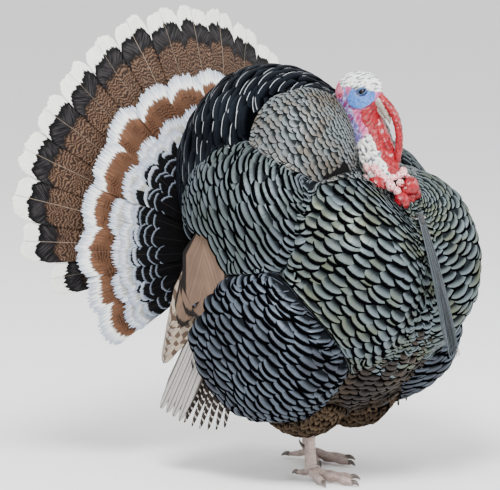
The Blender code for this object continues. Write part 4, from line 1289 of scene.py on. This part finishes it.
line = line + np.array((1.0, 0, 0)) * across * width + np.array((0, 1.0, 0.33)) * deep * width * 0.45
line = line + np.array((0, -1.0, -0.3)) * 0.006 * np.sin(s * math.pi)
wave = dice.uniform(-1, 1, (strands, 1, 3)) * (0.0016, 0.0010, 0.0)
wave = wave * np.sin(s * dice.uniform(3, 8, (strands, 1, 1)))
line = line + wave
turn = np.linspace(0, 2 * math.pi, sides + 1)[None, None, :]
thin = 0.00075 * (1.0 - 0.6 * s[..., 0][..., None])
around = np.stack((np.cos(turn) * thin, np.sin(turn) * thin, 0 * turn * thin), axis=-1)
sheets = line[:, :, None, :] + around
sheets_piece(
    "beard_bristles", sheets, {"chance": dice.uniform(0, 1, strands)[:, None, None]}, bristle,
    "beard_hank", replaces=("beard",),
)
binding = tube_rings(
    smooth_path([(0, -0.2335, 0.4475), (0, -0.2365, 0.4395), (0, -0.2390, 0.4310)], 12)[:, :3],
    0.0052 + 0.0005 * np.abs(np.sin(np.linspace(0, 9.4, 12))), 24,
)
thread, paint = new_finish("waxed_thread", roughness=0.6)
twist = paint.grain(900.0, detail=2.0)
apply_finish(thread, twist.between((0.008, 0.008, 0.009), (0.045, 0.045, 0.05)), twist, depth=0.0004)
closed_loft("beard_binding", binding, {}, thread, "beard_hank")

# ---------------------------------------------------------------------------------------------
# Legs and feet: cast and painted, grey-pink, with overlapping scutes down the front of each
# shank, knuckled toes on flat pads, horn claws and a spur. A bent steel rod inside carries them.
# ---------------------------------------------------------------------------------------------
leg_finish, paint = new_finish("scaled_leg_skin", roughness=0.48, specular=0.45)
scute = paint.mark("scute")
scales = paint.node(
    "ShaderNodeTexVoronoi",
    {"feature": "DISTANCE_TO_EDGE"},
    {"Vector": paint.place(), "Scale": 330.0},
)
seams = 1.0 - scales.ease(0.02, 0.16)
tone_share = (paint.grain(70.0) + scute * 0.3 - 0.15).ease(0.3, 0.75)
tone = tone_share.between((0.30, 0.215, 0.19), (0.52, 0.41, 0.37))
dirt = (seams * 0.6).peak(1.0 - scute.ease(0.05, 0.35)) * 0.75
scaly = scute + scales.ease(0.0, 0.2) * 0.5
apply_finish(leg_finish, dirt.between(tone, (0.13, 0.085, 0.075)), scaly, depth=0.0009)
claw_finish, paint = new_finish("dark_claw_horn", roughness=0.35)
band = paint.grain(500.0, detail=2.0)
apply_finish(claw_finish, band.between((0.035, 0.026, 0.022), (0.14, 0.11, 0.09)), band, depth=0.0003)


def scuted(path, scale_length):
    """A saw wave down a path: each scute is thick at its lower edge."""
    run = np.concatenate(((0.0,), np.cumsum(np.linalg.norm(np.diff(path, axis=0), axis=1))))
    return (run / scale_length) % 1.0


def swollen(rings, bulge):
    """Pushes each ring's points out from its middle."""
    return rings + unit(rings - rings.mean(axis=1, keepdims=True)) * bulge[..., None]


# direction round from straight ahead in degrees, length, radius at the palm, knuckles
toes = {
    "inner": (-32.0, 0.066, 0.0078, 2),
    "middle": (0.0, 0.090, 0.0082, 3),
    "outer": (34.0, 0.068, 0.0078, 3),
    "hind": (168.0, 0.040, 0.0056, 1),
}
for word, ankle, out in (("right", (-0.065, -0.060, 0.0), -1), ("left", (0.065, 0.060, 0.0), 1)):
    ankle = np.array(ankle)
    shank = smooth_path([
        (0, 0.0, 0.012, 0.0098), (0, 0.0015, 0.022, 0.0092), (0, 0.003, 0.045, 0.0082),
        (0, 0.003, 0.080, 0.0084), (0, 0.002, 0.105, 0.0110), (0, 0.004, 0.125, 0.0150),
        (0, 0.006, 0.150, 0.0180),
    ], 150)
    saw = scuted(shank[:, :3], 0.0066)
    rings = tube_rings(shank[:, :3] + ankle, shank[:, 3], 40, flatten=1.12)
    facing = np.clip((ankle[1] - rings[..., 1]) / 0.008 + 0.35, 0.0, 1.0)
    rings = swollen(rings, 0.0009 * (1 - saw)[:, None] * facing)
    closed_loft(
        f"shank_{word}", rings, {"scute": 0.5 + (np.minimum(1, saw * 5) - 0.5)[:, None] * facing},
        leg_finish, "body_frame", replaces=("leg_" + word,),
    )
    for number, (toe, (aim, length, radius, knuckles)) in enumerate(toes.items()):
        turn = math.radians(aim * (1 if out < 0 else -1))
        heading = np.array((math.sin(turn), -math.cos(turn), 0.0))
        start = ankle + np.array((0, 0, 0.0125 if toe != "hind" else 0.0135))
        share = np.linspace(0, 1, 8)
        droop = np.array((0.0125, 0.0135, 0.0118, 0.0098, 0.0088, 0.0080, 0.0072, 0.0066))
        curve = start[None] + heading * (length * share)[:, None]
        curve[:, 2] = droop
        toe_path = smooth_path(np.column_stack((curve, radius * (1.0 - 0.40 * share))), 90)
        knuckle = 1.0 + 0.13 * np.sin(np.linspace(0, 1, 90) * math.pi * 2 * knuckles - 1.2)
        saw = scuted(toe_path[:, :3], 0.0046)
        thick = np.minimum(toe_path[:, 3] * knuckle, toe_path[:, 2] - 0.0003)
        rings = tube_rings(toe_path[:, :3], thick, 28)
        top = np.clip((rings[..., 2] - toe_path[:, 2:3]) / 0.004, 0.0, 1.0)
        rings = swollen(rings, 0.0006 * (1 - saw)[:, None] * top)
        rings[..., 2] = np.maximum(rings[..., 2], 0.0004)
        closed_loft(
            f"toe_{toe}_{word}", rings, {"scute": 0.5 + (np.minimum(1, saw * 5) - 0.5)[:, None] * top},
            leg_finish, "body_frame", replaces=("foot_" + word,) if number == 0 else (),
        )
        claw = smooth_path([
            (0.0, 0, 0.0072, 0.0042), (0.006, 0, 0.0078, 0.0038), (0.012, 0, 0.0056, 0.0024),
            (0.0155, 0, 0.0026, 0.0008),
        ], 20)
        claw_path = ankle + heading * (length - 0.003 + claw[:, :1]) + np.array((0, 0, 1.0)) * claw[:, 2:3]
        rings = tube_rings(claw_path, claw[:, 3], 16)
        closed_loft(f"claw_{toe}_{word}", rings, {}, claw_finish, "body_frame")
    spur = smooth_path([
        (0, 0.006, 0.050, 0.0050), (0, 0.0155, 0.0525, 0.0038), (0, 0.0235, 0.0580, 0.0020),
        (0, 0.0270, 0.0640, 0.0006),
    ], 24)
    rings = tube_rings(spur[:, :3] + ankle, spur[:, 3], 18)
    closed_loft(f"spur_{word}", rings, {}, claw_finish, "body_frame")

# ---------------------------------------------------------------------------------------------
# Hardware: the leg rod, posts, pins, bolts, bracket and clevis are zinc-plated steel, turned or
# bent; the tube that spans the shell is aluminium. All of it is brushed, with a few dull spots.
# ---------------------------------------------------------------------------------------------
for metal_name, pale, dull, nodes in (
    ("zinc_plated_steel", (0.56, 0.56, 0.55), (0.30, 0.29, 0.27),
     ("leg_rod", "tail_clevis", "tail_hinge_pin", "wing_pin_right", "wing_pin_left", "beard_staple",
      "shell_bolt_front", "shell_bolt_rear", "neck_post", "tail_bracket", "fan_bolt", "fan_nut")),
    ("drawn_aluminium", (0.62, 0.62, 0.63), (0.42, 0.42, 0.43), ("spine_tube",)),
):
    metal, paint = new_finish(metal_name, roughness=0.38, metallic=1.0)
    brushed = paint.grain(1.0, paint.stretched(1500.0, 120.0, 900.0), detail=3.0)
    spots = paint.grain(120.0, detail=4.0).ease(0.55, 0.72)
    worn = brushed * 0.2 + spots * 0.25 + 0.25
    apply_finish(metal, spots.between(pale, dull), brushed, depth=0.0002, roughness=worn)
    coat(nodes, metal)
